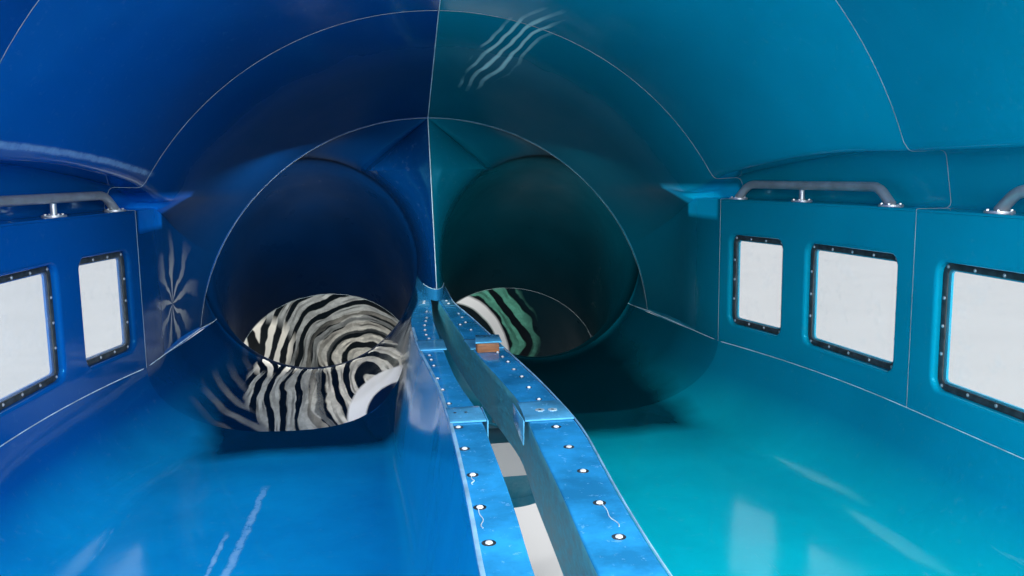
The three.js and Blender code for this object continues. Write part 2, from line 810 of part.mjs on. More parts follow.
function bent(y, top) {
  const underside = top - capDepth;
  const half = columnSize / 2;
  const plate = basePlateSize / 2;
  const legs = ['left', 'right'].flatMap((side) => {
    const x = sign[side] * columnOffset;
    return [
      block(x - half, x + half, y - half, y + half, ground + overlap, underside + overlap),
      block(x - plate, x + plate, y - plate, y + plate, ground, ground + basePlateThickness),
      kneeBrace(side, y, underside + 2 * overlap),
    ];
  });
  const cap = block(-capHalfLength, capHalfLength, y - capWidth / 2, y + capWidth / 2, underside, top);
  return joined([cap, ...legs]);
}

// The finished object
const pod = new THREE.Group();

function add(name, finish, body) {
  const material = new THREE.MeshStandardMaterial({ ...finishes[finish], name: finish });
  const mesh = new THREE.Mesh(geometryOf(body), material);
  mesh.name = name;
  pod.add(mesh);
}

const half = touch / 2;
const rearWindows = [0, 1, 2].map((index) => {
  const start = rearEnd + firstWindow + index * windowSpacing;
  return { start, end: start + windowWidth };
});
const frontWallPlaces = [bayJoint + half, ...bayPlaces, lastWallPlace, funnelJoint - half];
const frontTubPlaces = [
  tubJoint + half, bayJoint, ...bayPlaces, roundingStart, lastTubPlace, funnelJoint - half,
];
const channelPlaces = [
  funnelJoint + half, roundingEnd, webNoseFoot, lastChannelPlace, archJoint, lastMouthPlace,
  mouthJoint - half,
];
const funnelPlaces = [
  funnelJoint + half, nicheCloses, nicheClosed, webNoseFoot, lastChannelPlace, archJoint - half,
];

for (const side of ['left', 'right']) {
  const finish = sideFinish[side];
  add(`${side}_tub_rear`, finish, tub(side, [rearEnd, ...rearTubPlaces, tubJoint - half]));
  add(`${side}_tub_front`, finish, tub(side, frontTubPlaces));
  add(`${side}_wall_rear`, finish, wall(side, [rearEnd, bayJoint - half], rearWindows));
  add(`${side}_wall_front`, finish, wall(side, frontWallPlaces, sideWindows));
  add(`${side}_vault_rear`, finish, vault(side, [rearEnd, bayJoint - half]));
  add(`${side}_vault_front`, finish, vault(side, frontWallPlaces));
  add(`${side}_channel`, finish, channel(side, channelPlaces));
  add(`${side}_funnel`, finish, funnel(side, funnelPlaces));
  add(`${side}_mouth`, finish, mouth(side));
  add(`${side}_tube_bend`, finish, tubeLength(side, half, ringPlace - half, bendSteps));
  add(`${side}_tube_drop`, finish, tubeLength(side, ringPlace + half, endPlace, 1));
  [...rearWindows, ...sideWindows].forEach((span, index) => {
    add(`${side}_window_${index + 1}`, 'clear', pane(side, span));
  });
  grabBars.forEach((bar) => add(`${side}_grab_bar_${bar.place}`, 'stainless', grabBar(side, bar)));
  add(`${side}_girder`, 'galvanised', girder(side));
}
for (const [name, place] of Object.entries(bentPlaces)) add(name, 'galvanised', bent(place, capTop));
add('tube_bent', 'galvanised', bent(tubeCapPlace, tubeCapTop));

// The origin lies on the ground, under the middle of the whole
const bounds = new THREE.Box3().setFromObject(pod);
const middle = bounds.getCenter(new THREE.Vector3());
pod.position.set(-middle.x, -middle.y, -bounds.min.z);
pod.updateMatrixWorld(true);

export default pod;
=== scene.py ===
"""Start enclosure of a twin-lane water slide: shells, hardware, finishes and stage over the frame."""
import math

import bmesh
import bpy
from bpy.props import FloatProperty, FloatVectorProperty, PointerProperty
from mathutils import Matrix, Vector


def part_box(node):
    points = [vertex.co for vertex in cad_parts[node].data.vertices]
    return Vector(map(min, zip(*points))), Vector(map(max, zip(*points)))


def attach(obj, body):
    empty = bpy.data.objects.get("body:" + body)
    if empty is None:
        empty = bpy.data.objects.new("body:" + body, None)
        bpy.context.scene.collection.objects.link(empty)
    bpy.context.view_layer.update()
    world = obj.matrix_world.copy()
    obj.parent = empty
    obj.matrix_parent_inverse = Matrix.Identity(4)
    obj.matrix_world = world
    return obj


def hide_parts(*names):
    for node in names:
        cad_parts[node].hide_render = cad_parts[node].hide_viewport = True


bl_info = {
    "name": "Water slide start enclosure",
    "version": (1, 0, 0),
    "blender": (4, 5, 0),
    "location": "View3D > Sidebar > Water slide",
    "description": "Dresses the frame of a twin-lane water slide start enclosure",
    "category": "Object",
}

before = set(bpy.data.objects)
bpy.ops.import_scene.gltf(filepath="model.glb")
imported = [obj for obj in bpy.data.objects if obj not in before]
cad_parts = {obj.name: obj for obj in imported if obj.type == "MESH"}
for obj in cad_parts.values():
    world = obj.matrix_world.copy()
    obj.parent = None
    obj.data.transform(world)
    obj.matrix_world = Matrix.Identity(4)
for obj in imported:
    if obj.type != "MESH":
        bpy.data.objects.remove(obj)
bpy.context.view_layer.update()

# Where the enclosure lies in the frame: its rear entry and the floor of its tubs
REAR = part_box("left_girder")[0].y
STAND_HEIGHT = 2.4
SIGN = {"left": -1, "right": 1}
SIDES = ("left", "right")

# Joints along the enclosure, in metres from the rear entry
REAR_END = 0.0
TUB_JOINT = 2.02
BAY_JOINT = 2.309
FUNNEL_JOINT = 3.599
ARCH_JOINT = 4.59
MOUTH_JOINT = 4.89
NICHE_CLOSES = 3.86
NICHE_CLOSED = 3.96
HALF_GAP = 0.00015
TOUCH = 0.0003
MERGE = 1e-6
UP = Vector((0, 0, 1))

# Cross-section, in metres above the floor of the tubs
WALL_HALF_WIDTH = 1.55
FUNNEL_HALF_WIDTH = 1.371
ARCH_HALF_WIDTH = 1.324
SEAM_HEIGHT = 0.337
LEDGE_HEIGHT = 1.051
LEDGE_FOOT = LEDGE_HEIGHT - 0.0095
LEDGE_UNDERSIDE = LEDGE_HEIGHT - 0.01
NICHE_DEPTH = 0.135
NICHE_LEAN = 0.035
HOOD_DROP = 0.027
LIP_OVERHANG = 0.024
LIP_UNDERSIDE = 0.032
DIVIDER_HEIGHT = 0.505
GAP_LIP_DEPTH = 0.18
LANE_CENTRE = 0.72
HOOD_FLANGE_TOP = 1.385

# Tubes
BORE_RADIUS = 0.65
BORE_HEIGHT = 0.65
BEND_RADIUS = 1.05
PLUNGE = math.radians(50)
BEND_TAIL = 0.6
DROP_LENGTH = 1.2
BEND_LENGTH = BEND_RADIUS * PLUNGE
RING_PLACE = BEND_LENGTH + BEND_TAIL
END_PLACE = RING_PLACE + DROP_LENGTH

# Windows
WINDOW_BOTTOM = 0.44
WINDOW_TOP = 0.879
WINDOW_CORNER = 0.045
WINDOW_WIDTH = 0.573
WINDOW_SPACING = 0.743
FIRST_WINDOW = 0.125
WINDOW_STARTS = [FIRST_WINDOW + k * WINDOW_SPACING for k in range(3)]
REAR_WINDOWS = [(start, start + WINDOW_WIDTH) for start in WINDOW_STARTS]
FRONT_WINDOWS = [(2.411, 2.984), (3.15, 3.528)]
FLAT_FROM = 0.02
LEAST_CORNER = 0.004
LIP_BACK = 0.0099
TRAY_FOOT = 0.012
PANE_FRONT = 0.0297
PANE_BACK = 0.0357
TRAY_BACK = 0.044
REBATE_WIDTH = 0.03
TRAY_WALL = 0.008

# Grab bars
BAR_RISE = 0.09
BAR_OFFSET = 0.05
BAR_LEAN = 0.075
BAR_BEND = 0.04
BAR_RADIUS = 0.019
GRAB_BARS = {"front": (2.53, 3.54), "rear": (0.96, 1.97)}

# Flanges
FLANGE_REACH = 0.09
FLANGE_THICKNESS = 0.01
FLANGE_START = 0.003
SEAM_FLANGE_START = 0.002
WALL_TOP = LEDGE_HEIGHT - 0.0103
WALL_BOTTOM = SEAM_HEIGHT + 0.0003

# Camera
CAMERA_PLACE = Vector((-0.315, -4.119, 3.5995))
CAMERA_YAW = math.radians(9.0)
CAMERA_PITCH = math.radians(7.8)
CAMERA_ROLL = -0.0138
CAMERA_LENS = 29.9

INNER, OUTER, TOP, RAW, LINING, WEB = range(6)


def length_property(name, description, default):
    """A length that a user would change."""
    return FloatProperty(name=name, description=description, default=default, unit="LENGTH")


def colour_property(name, description, default):
    """A colour that a user would change."""
    return FloatVectorProperty(
        name=name, description=description, default=default, subtype="COLOR", size=3, min=0, max=1
    )


class SlideSizes(bpy.types.PropertyGroup):
    """Sizes of the shells, the hardware and the stage"""

    laminate: length_property("Laminate", "Thickness of the moulded shells", 0.01)
    bead: length_property("Sealant bead", "Radius of the sealant beads", 0.0021)
    flange_bolt: length_property("Flange bolt", "Half width of a flange bolt's head", 0.011)
    flange_pitch: length_property("Flange pitch", "Spacing of the flange bolts", 0.17)
    divider_bolt: length_property("Divider bolt", "Radius of a divider bolt's head", 0.0078)
    divider_hole: length_property("Divider hole", "Radius of the recess round a divider bolt", 0.014)
    window_lip: length_property("Window lip", "Radius of the rolled edge round a window", 0.014)
    window_screw: length_property("Window screw", "Radius of a window screw's head", 0.0065)
    bar_radius: length_property("Bar radius", "Radius of the grab bars", BAR_RADIUS)
    stage_size: length_property("Floor size", "Half width of the studio floor", 60.0)


class SlideColours(bpy.types.PropertyGroup):
    """Colours of the gelcoat, the hardware and the stage"""

    blue: colour_property("Blue", "Gelcoat of the left half", (0.001, 0.085, 0.34))
    blue_floor: colour_property("Worn blue", "Worn blue on the lane floor", (0.003, 0.33, 0.7))
    blue_light: colour_property("Light blue", "Flange tops", (0.03, 0.35, 0.72))
    teal: colour_property("Teal", "Gelcoat of the right half", (0.001, 0.305, 0.465))
    teal_floor: colour_property("Worn teal", "Worn teal on the lane floor", (0.002, 0.57, 0.65))
    joint_plate: colour_property("Joint plate", "Plates over the divider joints", (0.12, 0.48, 0.78))
    raw: colour_property("Raw laminate", "Bare faces inside the divider gap", (0.06, 0.31, 0.39))
    sealant: colour_property("Sealant", "Sealant in the seams", (0.62, 0.8, 0.86))
    rubber: colour_property("Rubber", "Gaskets under the windows", (0.018, 0.024, 0.028))
    steel: colour_property("Steel", "Stainless bars and bolts", (0.64, 0.68, 0.72))
    zinc: colour_property("Zinc", "Galvanised stand", (0.42, 0.44, 0.45))
    timber: colour_property("Timber", "Packing block in the divider gap", (0.3, 0.12, 0.045))
    stage: colour_property("Floor", "Studio floor", (0.74, 0.73, 0.71))


# Values that change along the enclosure
def along(stations, y):
    """A value between the stations on either side of y."""
    if y <= stations[0][0]:
        return stations[0][1]
    for (y0, value0), (y1, value1) in zip(stations, stations[1:]):
        if y <= y1:
            return value0 + (value1 - value0) * (y - y0) / (y1 - y0)
    return stations[-1][1]


def lerp(a, b, t):
    return a + (b - a) * t


def ease_out(t):
    return math.sin(t * math.pi / 2)


def bore_angle(height):
    return math.asin((height - BORE_HEIGHT) / BORE_RADIUS)


def bore_point(angle):
    return LANE_CENTRE + BORE_RADIUS * math.cos(angle), BORE_HEIGHT + BORE_RADIUS * math.sin(angle)


BORE_WIDTH_AT_SEAM = bore_point(bore_angle(SEAM_HEIGHT))[0]


def half_width(y):
    if y <= BAY_JOINT:
        return WALL_HALF_WIDTH
    if y <= FUNNEL_JOINT:
        t = (y - BAY_JOINT) / (FUNNEL_JOINT - BAY_JOINT)
        return lerp(WALL_HALF_WIDTH, FUNNEL_HALF_WIDTH, t * t)
    if y <= ARCH_JOINT:
        return lerp(FUNNEL_HALF_WIDTH, ARCH_HALF_WIDTH, (y - FUNNEL_JOINT) / (ARCH_JOINT - FUNNEL_JOINT))
    return lerp(ARCH_HALF_WIDTH, BORE_WIDTH_AT_SEAM, ease_out((y - ARCH_JOINT) / (MOUTH_JOINT - ARCH_JOINT)))


VAULT_RADIUS = [(BAY_JOINT, 1.588), (FUNNEL_JOINT, 1.528), (ARCH_JOINT, 1.334)]
VAULT_CENTRE = [(BAY_JOINT, 0.729), (FUNNEL_JOINT, 0.402), (ARCH_JOINT, 0.176)]
LIP_HEIGHT = [
    (BAY_JOINT, 1.28), (2.63, 1.29), (2.95, 1.275),
    (3.31, 1.235), (FUNNEL_JOINT, 1.19), (NICHE_CLOSES, 1.1),
]
NICHE_SHARE = [(NICHE_CLOSES, 1), (NICHE_CLOSED, 0)]
FLAT_WALL_SHARE = [(NICHE_CLOSED, 1), (ARCH_JOINT, 0)]
ROUND_SHARE = [(3.31, 0), (FUNNEL_JOINT, 0.75), (3.85, 1)]
BORE_SHARE = [(3.85, 0), (MOUTH_JOINT, 1)]
DIVIDER_INNER = {
    "left": [
        (0.95, 0.066), (1.3, 0.048), (TUB_JOINT, 0.037), (BAY_JOINT, 0.062), (2.63, 0.07),
        (FUNNEL_JOINT, 0.062), (4.19, 0.032), (MOUTH_JOINT, 0.01),
    ],
    "right": [
        (0.95, 0.041), (1.3, 0.062), (1.8, 0.08), (TUB_JOINT, 0.102), (BAY_JOINT, 0.084),
        (2.95, 0.04), (FUNNEL_JOINT, 0.02), (4.19, 0.005),
    ],
}
DIVIDER_OUTER = {
    "left": [
        (0.95, 0.159), (1.3, 0.144), (1.8, 0.132), (BAY_JOINT, 0.134), (2.95, 0.168),
        (FUNNEL_JOINT, 0.172), (4.19, 0.12), (MOUTH_JOINT, 0.086),
    ],
    "right": [
        (0.95, 0.162), (1.3, 0.181), (1.8, 0.222), (BAY_JOINT, 0.207), (2.95, 0.164),
        (FUNNEL_JOINT, 0.125), (4.19, 0.075), (MOUTH_JOINT, 0.086),
    ],
}
CURVE_REACH = 0.14
FLAT_WALL_EVEN = 4.3


def spaced(start, end, steps):
    return [lerp(start, end, k / steps) for k in range(steps + 1)]


def curved_along(stations, y):
    """The same values with their kinks rounded."""
    return sum(along(stations, y + shift) for shift in spaced(-CURVE_REACH, CURVE_REACH, 8)) / 9


def arc(centre_x, centre_z, radius_x, radius_z, start, end, steps):
    """Points of an arc in a cross-section."""
    angles = spaced(start, end, steps)
    return [(centre_x + radius_x * math.cos(a), centre_z + radius_z * math.sin(a)) for a in angles]


def bend_through(a, corner, b, t):
    """A point on the rounded corner between a and b."""
    return tuple((1 - t) ** 2 * p + 2 * t * (1 - t) * q + t * t * r for p, q, r in zip(a, corner, b))


def rounded_line(points, radii, steps):
    """The line through the points with its inner corners rounded, as (place along the points, x, z)."""
    line = [(0.0, *points[0])]
    for k in range(1, len(points) - 1):
        corner = Vector(points[k])
        back = Vector(points[k - 1]) - corner
        ahead = Vector(points[k + 1]) - corner
        reach_back = min(radii[k - 1] / back.length, 0.45)
        reach_ahead = min(radii[k - 1] / ahead.length, 0.45)
        start = corner + back * reach_back
        end = corner + ahead * reach_ahead
        for t in spaced(0, 1, steps):
            x, z = bend_through(start, corner, end, t)
            line.append((lerp(k - reach_back, k + reach_ahead, t), x, z))
    line.append((float(len(points) - 1), *points[-1]))
    return line


def blend_lines(first, second, share):
    return [(lerp(a[0], b[0], share), lerp(a[1], b[1], share)) for a, b in zip(first, second)]


# Section of a tub: gap lip, flange top, lane wall, floor and cove up to the long seam.
# A place t runs from 0 at the flange's edge to TUB_SPAN in the middle of the lane, and again to the seam.
TUB_SPAN = 7
FIRST_PLACE = 0.05
INSIDE_PLACES = spaced(FIRST_PLACE, TUB_SPAN, 30)
OUTSIDE_PLACES = spaced(0, TUB_SPAN, 24)[1:]
FLANGE_EDGE = 0.01
LIP_EDGE = 0.006
EDGE_STEPS = 4
WALL_ENDS = 2
FOOT_ENDS = 5
NEAR_FLOOR_ENDS = 6
WALL_FOOT_OUT = 0.085
WALL_FOOT_HEIGHT = 0.07
FOOT_CORNER = 0.098
FLOOR_START = 0.15
NEAR_FLOOR = 0.12


def flat_inside(outer, t):
    """The straight lane wall, its rounded foot and the floor."""
    foot = (outer + WALL_FOOT_OUT, WALL_FOOT_HEIGHT)
    floor_start = outer + FLOOR_START
    if t <= WALL_ENDS:
        share = t / WALL_ENDS
        return lerp(outer, foot[0], share), lerp(DIVIDER_HEIGHT, foot[1], share)
    if t <= FOOT_ENDS:
        share = (t - WALL_ENDS) / (FOOT_ENDS - WALL_ENDS)
        return bend_through(foot, (outer + FOOT_CORNER, 0.0), (floor_start, 0.0), share)
    if t <= NEAR_FLOOR_ENDS:
        return floor_start + NEAR_FLOOR * (t - FOOT_ENDS), 0.0
    return lerp(floor_start + NEAR_FLOOR, LANE_CENTRE, t - NEAR_FLOOR_ENDS), 0.0


def round_inside(outer, t):
    angle = math.pi + t / TUB_SPAN * math.pi / 2
    reach = LANE_CENTRE - outer
    return LANE_CENTRE + reach * math.cos(angle), DIVIDER_HEIGHT * (1 + math.sin(angle))


def bore_inside(t):
    return bore_point(lerp(math.pi - bore_angle(DIVIDER_HEIGHT), 1.5 * math.pi, t / TUB_SPAN))


def flat_outside(width, t):
    if t <= 1:
        return lerp(LANE_CENTRE, width - SEAM_HEIGHT, t), 0.0
    angle = 1.5 * math.pi + (t - 1) / (TUB_SPAN - 1) * math.pi / 2
    return width - SEAM_HEIGHT + SEAM_HEIGHT * math.cos(angle), SEAM_HEIGHT * (1 + math.sin(angle))


def round_outside(width, t):
    angle = 1.5 * math.pi + t / TUB_SPAN * math.pi / 2
    return LANE_CENTRE + (width - LANE_CENTRE) * math.cos(angle), SEAM_HEIGHT * (1 + math.sin(angle))


def bore_outside(t):
    return bore_point(lerp(1.5 * math.pi, 2 * math.pi + bore_angle(SEAM_HEIGHT), t / TUB_SPAN))


def tub_surface(side, y):
    """The section of a tub: flat near the entry, then rounder, and part of the bore at the mouth."""
    outer = curved_along(DIVIDER_OUTER[side], y)
    width = half_width(y)
    flat = [flat_inside(outer, t) for t in INSIDE_PLACES]
    flat += [flat_outside(width, t) for t in OUTSIDE_PLACES]
    rounder = [round_inside(outer, t) for t in INSIDE_PLACES]
    rounder += [round_outside(width, t) for t in OUTSIDE_PLACES]
    bore = [bore_inside(t) for t in INSIDE_PLACES] + [bore_outside(t) for t in OUTSIDE_PLACES]
    return blend_lines(blend_lines(flat, rounder, along(ROUND_SHARE, y)), bore, along(BORE_SHARE, y))


def tub_line(side, y):
    """The whole section of a tub. Its first points are the gap lip and the flange top."""
    inner = curved_along(DIVIDER_INNER[side], y)
    surface = tub_surface(side, y)
    outer = surface[0][0]
    top = DIVIDER_HEIGHT
    lip = [(inner, top - GAP_LIP_DEPTH), (inner, top - LIP_EDGE)]
    shares = spaced(0, 1, EDGE_STEPS)
    lip_end = (inner + LIP_EDGE, top)
    lip_corner = [bend_through(lip[-1], (inner, top), lip_end, share) for share in shares[1:]]
    edge_start = (outer - FLANGE_EDGE, top)
    edge = [bend_through(edge_start, (outer, top), surface[0], share) for share in shares]
    return lip + lip_corner + edge + surface[1:]


LIP_COLUMNS = 2
TOP_COLUMNS = LIP_COLUMNS + 2 * EDGE_STEPS


def tub_finish(column):
    """Which finish a column of the tub's section has."""
    if column < LIP_COLUMNS:
        return RAW
    return TOP if column < TOP_COLUMNS else INNER


# Section of the vault: ledge, niche, hood lip and arch up to the crown seam
CORNER_STEPS = 5
ARCH_STEPS = 30
WALL_CUTS = 10


def vault_arc(y, low, steps, reach=0):
    """The vault's arch from a height up to the crown, moved outwards by the reach."""
    radius, centre = along(VAULT_RADIUS, y) + reach, along(VAULT_CENTRE, y)
    return arc(0, centre, radius, radius, math.asin((low - centre) / radius), math.pi / 2, steps)


def vault_arch(y, steps=ARCH_STEPS):
    """The arch above the hood's lip."""
    return vault_arc(y, curved_along(LIP_HEIGHT, y), steps)


def crown_height(y):
    return along(VAULT_CENTRE, y) + along(VAULT_RADIUS, y)


def vault_foot(y):
    """Corners from the wall's top to the foot of the arch."""
    width = half_width(y)
    arch_x, lip = vault_arch(y, 1)[0]
    return [
        (width, LEDGE_FOOT), (width, LEDGE_HEIGHT), (width + NICHE_DEPTH, LEDGE_HEIGHT),
        (width + NICHE_DEPTH - NICHE_LEAN, lip - HOOD_DROP),
        (arch_x + LIP_OVERHANG, lip - LIP_UNDERSIDE), (arch_x, lip),
    ]


WALL_RADII = [0.1, 0.1, 0.001]
FOOT_RADII = [0.0085, 0.03, 0.026, 0.02]


def vault_line(y):
    foot = [(x, z) for _, x, z in rounded_line(vault_foot(y), FOOT_RADII, CORNER_STEPS)]
    return foot + vault_arch(y)[1:]


def niche_share(y):
    """How open the niche still is, with a soft start and end."""
    share = along(NICHE_SHARE, y)
    return share * share * (3 - 2 * share)


def funnel_line(y):
    """Wall, closing niche and arch of the funnel. Towards the tubes it becomes one plain arc."""
    width = half_width(y)
    radius, centre = along(VAULT_RADIUS, y), along(VAULT_CENTRE, y)
    wall = [(width, z) for z in spaced(WALL_BOTTOM, LEDGE_FOOT, 3)[:-1]]
    corners = wall + vault_foot(y)
    foot = rounded_line(corners, WALL_RADII + FOOT_RADII, CORNER_STEPS)
    seam_angle = math.asin((WALL_BOTTOM - centre) / radius)
    lip_angle = math.asin((curved_along(LIP_HEIGHT, y) - centre) / radius)
    ledge, last = float(len(wall) + 1), foot[-1][0]
    plain = [
        (radius * math.cos(a), centre + radius * math.sin(a))
        for a in (lerp(seam_angle, lip_angle, t / last) for t, _, _ in foot)
    ]
    niche = [(x, z) for _, x, z in foot]
    ledge_corner, lip_corner = Vector(corners[len(wall) + 1]), Vector(corners[-1])
    closed = [
        point if t < ledge else tuple(ledge_corner.lerp(lip_corner, (t - ledge) / (last - ledge)))
        for (t, _, _), point in zip(foot, niche)
    ]
    flat_share = curved_along(FLAT_WALL_SHARE, y) if y < FLAT_WALL_EVEN else along(FLAT_WALL_SHARE, y)
    foot_line = blend_lines(plain, blend_lines(closed, niche, niche_share(y)), flat_share)
    return foot_line + vault_arch(y)[1:]


# Mouth: the arch splits into two round bores with a web between them
MOUTH_STEPS = 48
MOUTH_PLACES = 12
CROWN_EDGE_ANGLE = math.radians(120)
CROWN_EDGE = bore_point(CROWN_EDGE_ANGLE)
WEB_FOOT = 4.19
ARCH_CROWN = crown_height(ARCH_JOINT)
WEB_COLOUR_CHANGE = 0.566


def mouth_share(y):
    return min(max((y - ARCH_JOINT - HALF_GAP) / (MOUTH_JOINT - ARCH_JOINT - 2 * HALF_GAP), 0), 1)


def mouth_line(y):
    """The section of a mouth, on its way from the arch to the bore."""
    arch = vault_arc(ARCH_JOINT, WALL_BOTTOM, MOUTH_STEPS)
    start = bore_angle(WALL_BOTTOM)
    bore = arc(LANE_CENTRE, BORE_HEIGHT, BORE_RADIUS, BORE_RADIUS, start, CROWN_EDGE_ANGLE, MOUTH_STEPS)
    return blend_lines(arch, bore, ease_out(mouth_share(y)))


def web_nose(z):
    """Where the web's rounded nose lies at a height."""
    return lerp(WEB_FOOT, ARCH_JOINT, (z - DIVIDER_HEIGHT) / (ARCH_CROWN - DIVIDER_HEIGHT))


def web_point(z, t):
    """A point on the web's face at a height, from its nose to the edge of the bore."""
    end_x = LANE_CENTRE - math.sqrt(max(BORE_RADIUS ** 2 - (z - BORE_HEIGHT) ** 2, 0))
    end_y = MOUTH_JOINT - HALF_GAP
    if z >= CROWN_EDGE[1]:
        share = min((ARCH_CROWN - z) / (ARCH_CROWN - CROWN_EDGE[1]), 1)
        end_x = CROWN_EDGE[0] * share
        end_y = lerp(ARCH_JOINT + HALF_GAP, end_y, math.asin(share) / (math.pi / 2))
    return max(end_x * math.sqrt(1 - (1 - t) ** 2), HALF_GAP), lerp(web_nose(z), end_y, t)


# Mesh helpers
def placed(side, x, y, z):
    """A point in the frame: x out from the middle, y from the rear entry, z above the tubs' floor."""
    return Vector((SIGN[side] * x, REAR + y, STAND_HEIGHT + z))


def wall_point(side, y, z, depth=0):
    """A point in the curved wall: y along it, z up it, and depth outwards from its inner face."""
    return placed(side, half_width(y) + depth, y, z)


def section_points(side, line, y):
    return [placed(side, max(x, HALF_GAP), y, z) for x, z in line]


def faces_round(verts):
    return list({face for vert in verts for face in vert.link_faces})


def shaped_grid(bm, columns, rows, place):
    """A grid whose vertices move to place(column, row). Gives its faces and each vertex's column."""
    verts = bmesh.ops.create_grid(bm, x_segments=columns, y_segments=rows, size=0.5)["verts"]
    column_of = {}
    for vert in verts:
        column, row = round((vert.co.x + 0.5) * columns), round((vert.co.y + 0.5) * rows)
        column_of[vert] = column
        vert.co = place(column, row)
    return faces_round(verts), column_of


def thickened(bm, faces, thickness):
    """Gives a sheet that faces into the room its thickness, and marks its outside."""
    bm.normal_update()
    for face in of_kind(bmesh.ops.solidify(bm, geom=faces, thickness=thickness)["geom"], bmesh.types.BMFace):
        face.material_index = OUTER


def shell(bm, side, faces, thickness):
    if side == "left":
        bmesh.ops.reverse_faces(bm, faces=faces)
    thickened(bm, faces, thickness)


def section_sheet(bm, side, line, places):
    """The section line carried along the places, as a bare sheet."""
    lines = [line(y) for y in places]

    def place(column, row):
        x, z = lines[row][column]
        return placed(side, max(x, HALF_GAP), places[row], z)

    return shaped_grid(bm, len(lines[0]) - 1, len(places) - 1, place)


def skin(bm, side, line, places, thickness, finish=None):
    """A laminate skin along the places."""
    faces, column_of = section_sheet(bm, side, line, places)
    for face in faces:
        column = min(column_of[vert] for vert in face.verts)
        face.material_index = finish(column) if finish else INNER
    shell(bm, side, faces, thickness)


def of_kind(items, kind):
    return [item for item in items if isinstance(item, kind)]


def plate(bm, outline, along_vector, finish=OUTER):
    """A flat plate: its outline as one face, extruded by its thickness."""
    face = bm.faces.new([bm.verts.new(point) for point in outline])
    made = bmesh.ops.extrude_face_region(bm, geom=[face])["geom"]
    top = of_kind(made, bmesh.types.BMVert)
    bmesh.ops.translate(bm, verts=top, vec=along_vector)
    faces = faces_round([*top, *face.verts])
    bmesh.ops.recalc_face_normals(bm, faces=faces)
    for item in faces:
        item.material_index = finish


def offset_line(points, distance):
    """The line moved to the right of its direction of travel."""
    moved = []
    for k, point in enumerate(points):
        here = Vector(point)
        arrive = (here - Vector(points[k - 1])).normalized() if k else (Vector(points[1]) - here).normalized()
        leave = (Vector(points[k + 1]) - here).normalized() if k < len(points) - 1 else arrive
        normal = Vector((arrive.y + leave.y, -arrive.x - leave.x)).normalized()
        moved.append(tuple(here + normal * distance))
    return moved


def joint_flange(bm, side, inner, outer, y):
    """An upright flange between two lines of a cross-section."""
    plate(bm, section_points(side, [*inner, *reversed(outer)], y), (0, FLANGE_THICKNESS, 0))


def rim_flange(bm, side, line, y, outer=None):
    """An upright flange round the outside of a skin's section."""
    joint_flange(bm, side, offset_line(line, FLANGE_START), outer or offset_line(line, FLANGE_REACH), y)


def seam_flange(bm, side, places, z):
    """A level flange along the long seam or the ledge."""
    inner, outer = (
        [wall_point(side, y, z, out) for y in places] for out in (SEAM_FLANGE_START, FLANGE_REACH)
    )
    plate(bm, [*inner, *reversed(outer)], (0, 0, FLANGE_THICKNESS))


def crown_flange(bm, side, places):
    """The upright flange along the crown seam."""
    lower, upper = (
        [placed(side, HALF_GAP, y, crown_height(y) + out) for y in places]
        for out in (SEAM_FLANGE_START, FLANGE_REACH)
    )
    plate(bm, [*lower, *reversed(upper)], (SIGN[side] * FLANGE_THICKNESS, 0, 0))


def round_place(radius, angle, rise=0):
    return Vector((math.cos(angle) * radius, math.sin(angle) * radius, rise))


def cylinder(bm, at, axis, radius, depth, sides, top_radius=None):
    """A round or many-sided prism that stands on a point."""
    turn = Vector(axis).to_track_quat("Z", "Y").to_matrix().to_4x4()
    turn.translation = Vector(at)
    bmesh.ops.create_cone(
        bm, cap_ends=True, segments=sides, depth=depth, matrix=turn @ Matrix.Translation((0, 0, depth / 2)),
        radius1=radius, radius2=radius if top_radius is None else top_radius,
    )


# A bolt's parts, as shares of its head's half width
WASHER_WIDTH = 1.75
WASHER = 0.22
HEAD = 0.85
HEAD_TOP = (0.86, 0.12, 0.7)
THREAD = (0.55, 1.6)


def hex_head(bm, at, axis, size, washer=True):
    """A hexagon head or nut on its washer."""
    axis = Vector(axis).normalized()
    lift = Vector(at)
    if washer:
        cylinder(bm, lift, axis, size * WASHER_WIDTH, size * WASHER, 12)
        lift = lift + axis * size * WASHER
    cylinder(bm, lift, axis, size, size * HEAD, 6)
    foot, rise, top = (size * share for share in HEAD_TOP)
    cylinder(bm, lift + axis * size * HEAD, axis, foot, rise, 6, top)


def bolt_through(bm, at, axis, grip, size):
    """A bolt through a joint, with its nut and thread end."""
    axis = Vector(axis).normalized()
    hex_head(bm, Vector(at) - axis * grip, -axis, size)
    hex_head(bm, Vector(at) + axis * grip, axis, size)
    cylinder(bm, Vector(at) + axis * grip, axis, size * THREAD[0], size * THREAD[1], 8)


def walk(points, pitch, margin):
    """Points at a steady pitch along a line, with a margin at both ends."""
    points = [Vector(point) for point in points]
    lengths = [0.0]
    for a, b in zip(points, points[1:]):
        lengths.append(lengths[-1] + (b - a).length)
    run = lengths[-1] - 2 * margin
    count = max(round(run / pitch), 1)
    found = []
    for k in range(count + 1):
        goal = margin + run * k / count
        index = next((i for i in range(1, len(lengths)) if lengths[i] >= goal), len(lengths) - 1)
        share = (goal - lengths[index - 1]) / max(lengths[index] - lengths[index - 1], 1e-9)
        found.append(points[index - 1].lerp(points[index], share))
    return found


def bolt_row(bm, line, axis, sizes, margin):
    """Bolts through two flanges, along a line."""
    for at in walk(line, sizes.flange_pitch, margin):
        bolt_through(bm, at, axis, FLANGE_THICKNESS, sizes.flange_bolt)


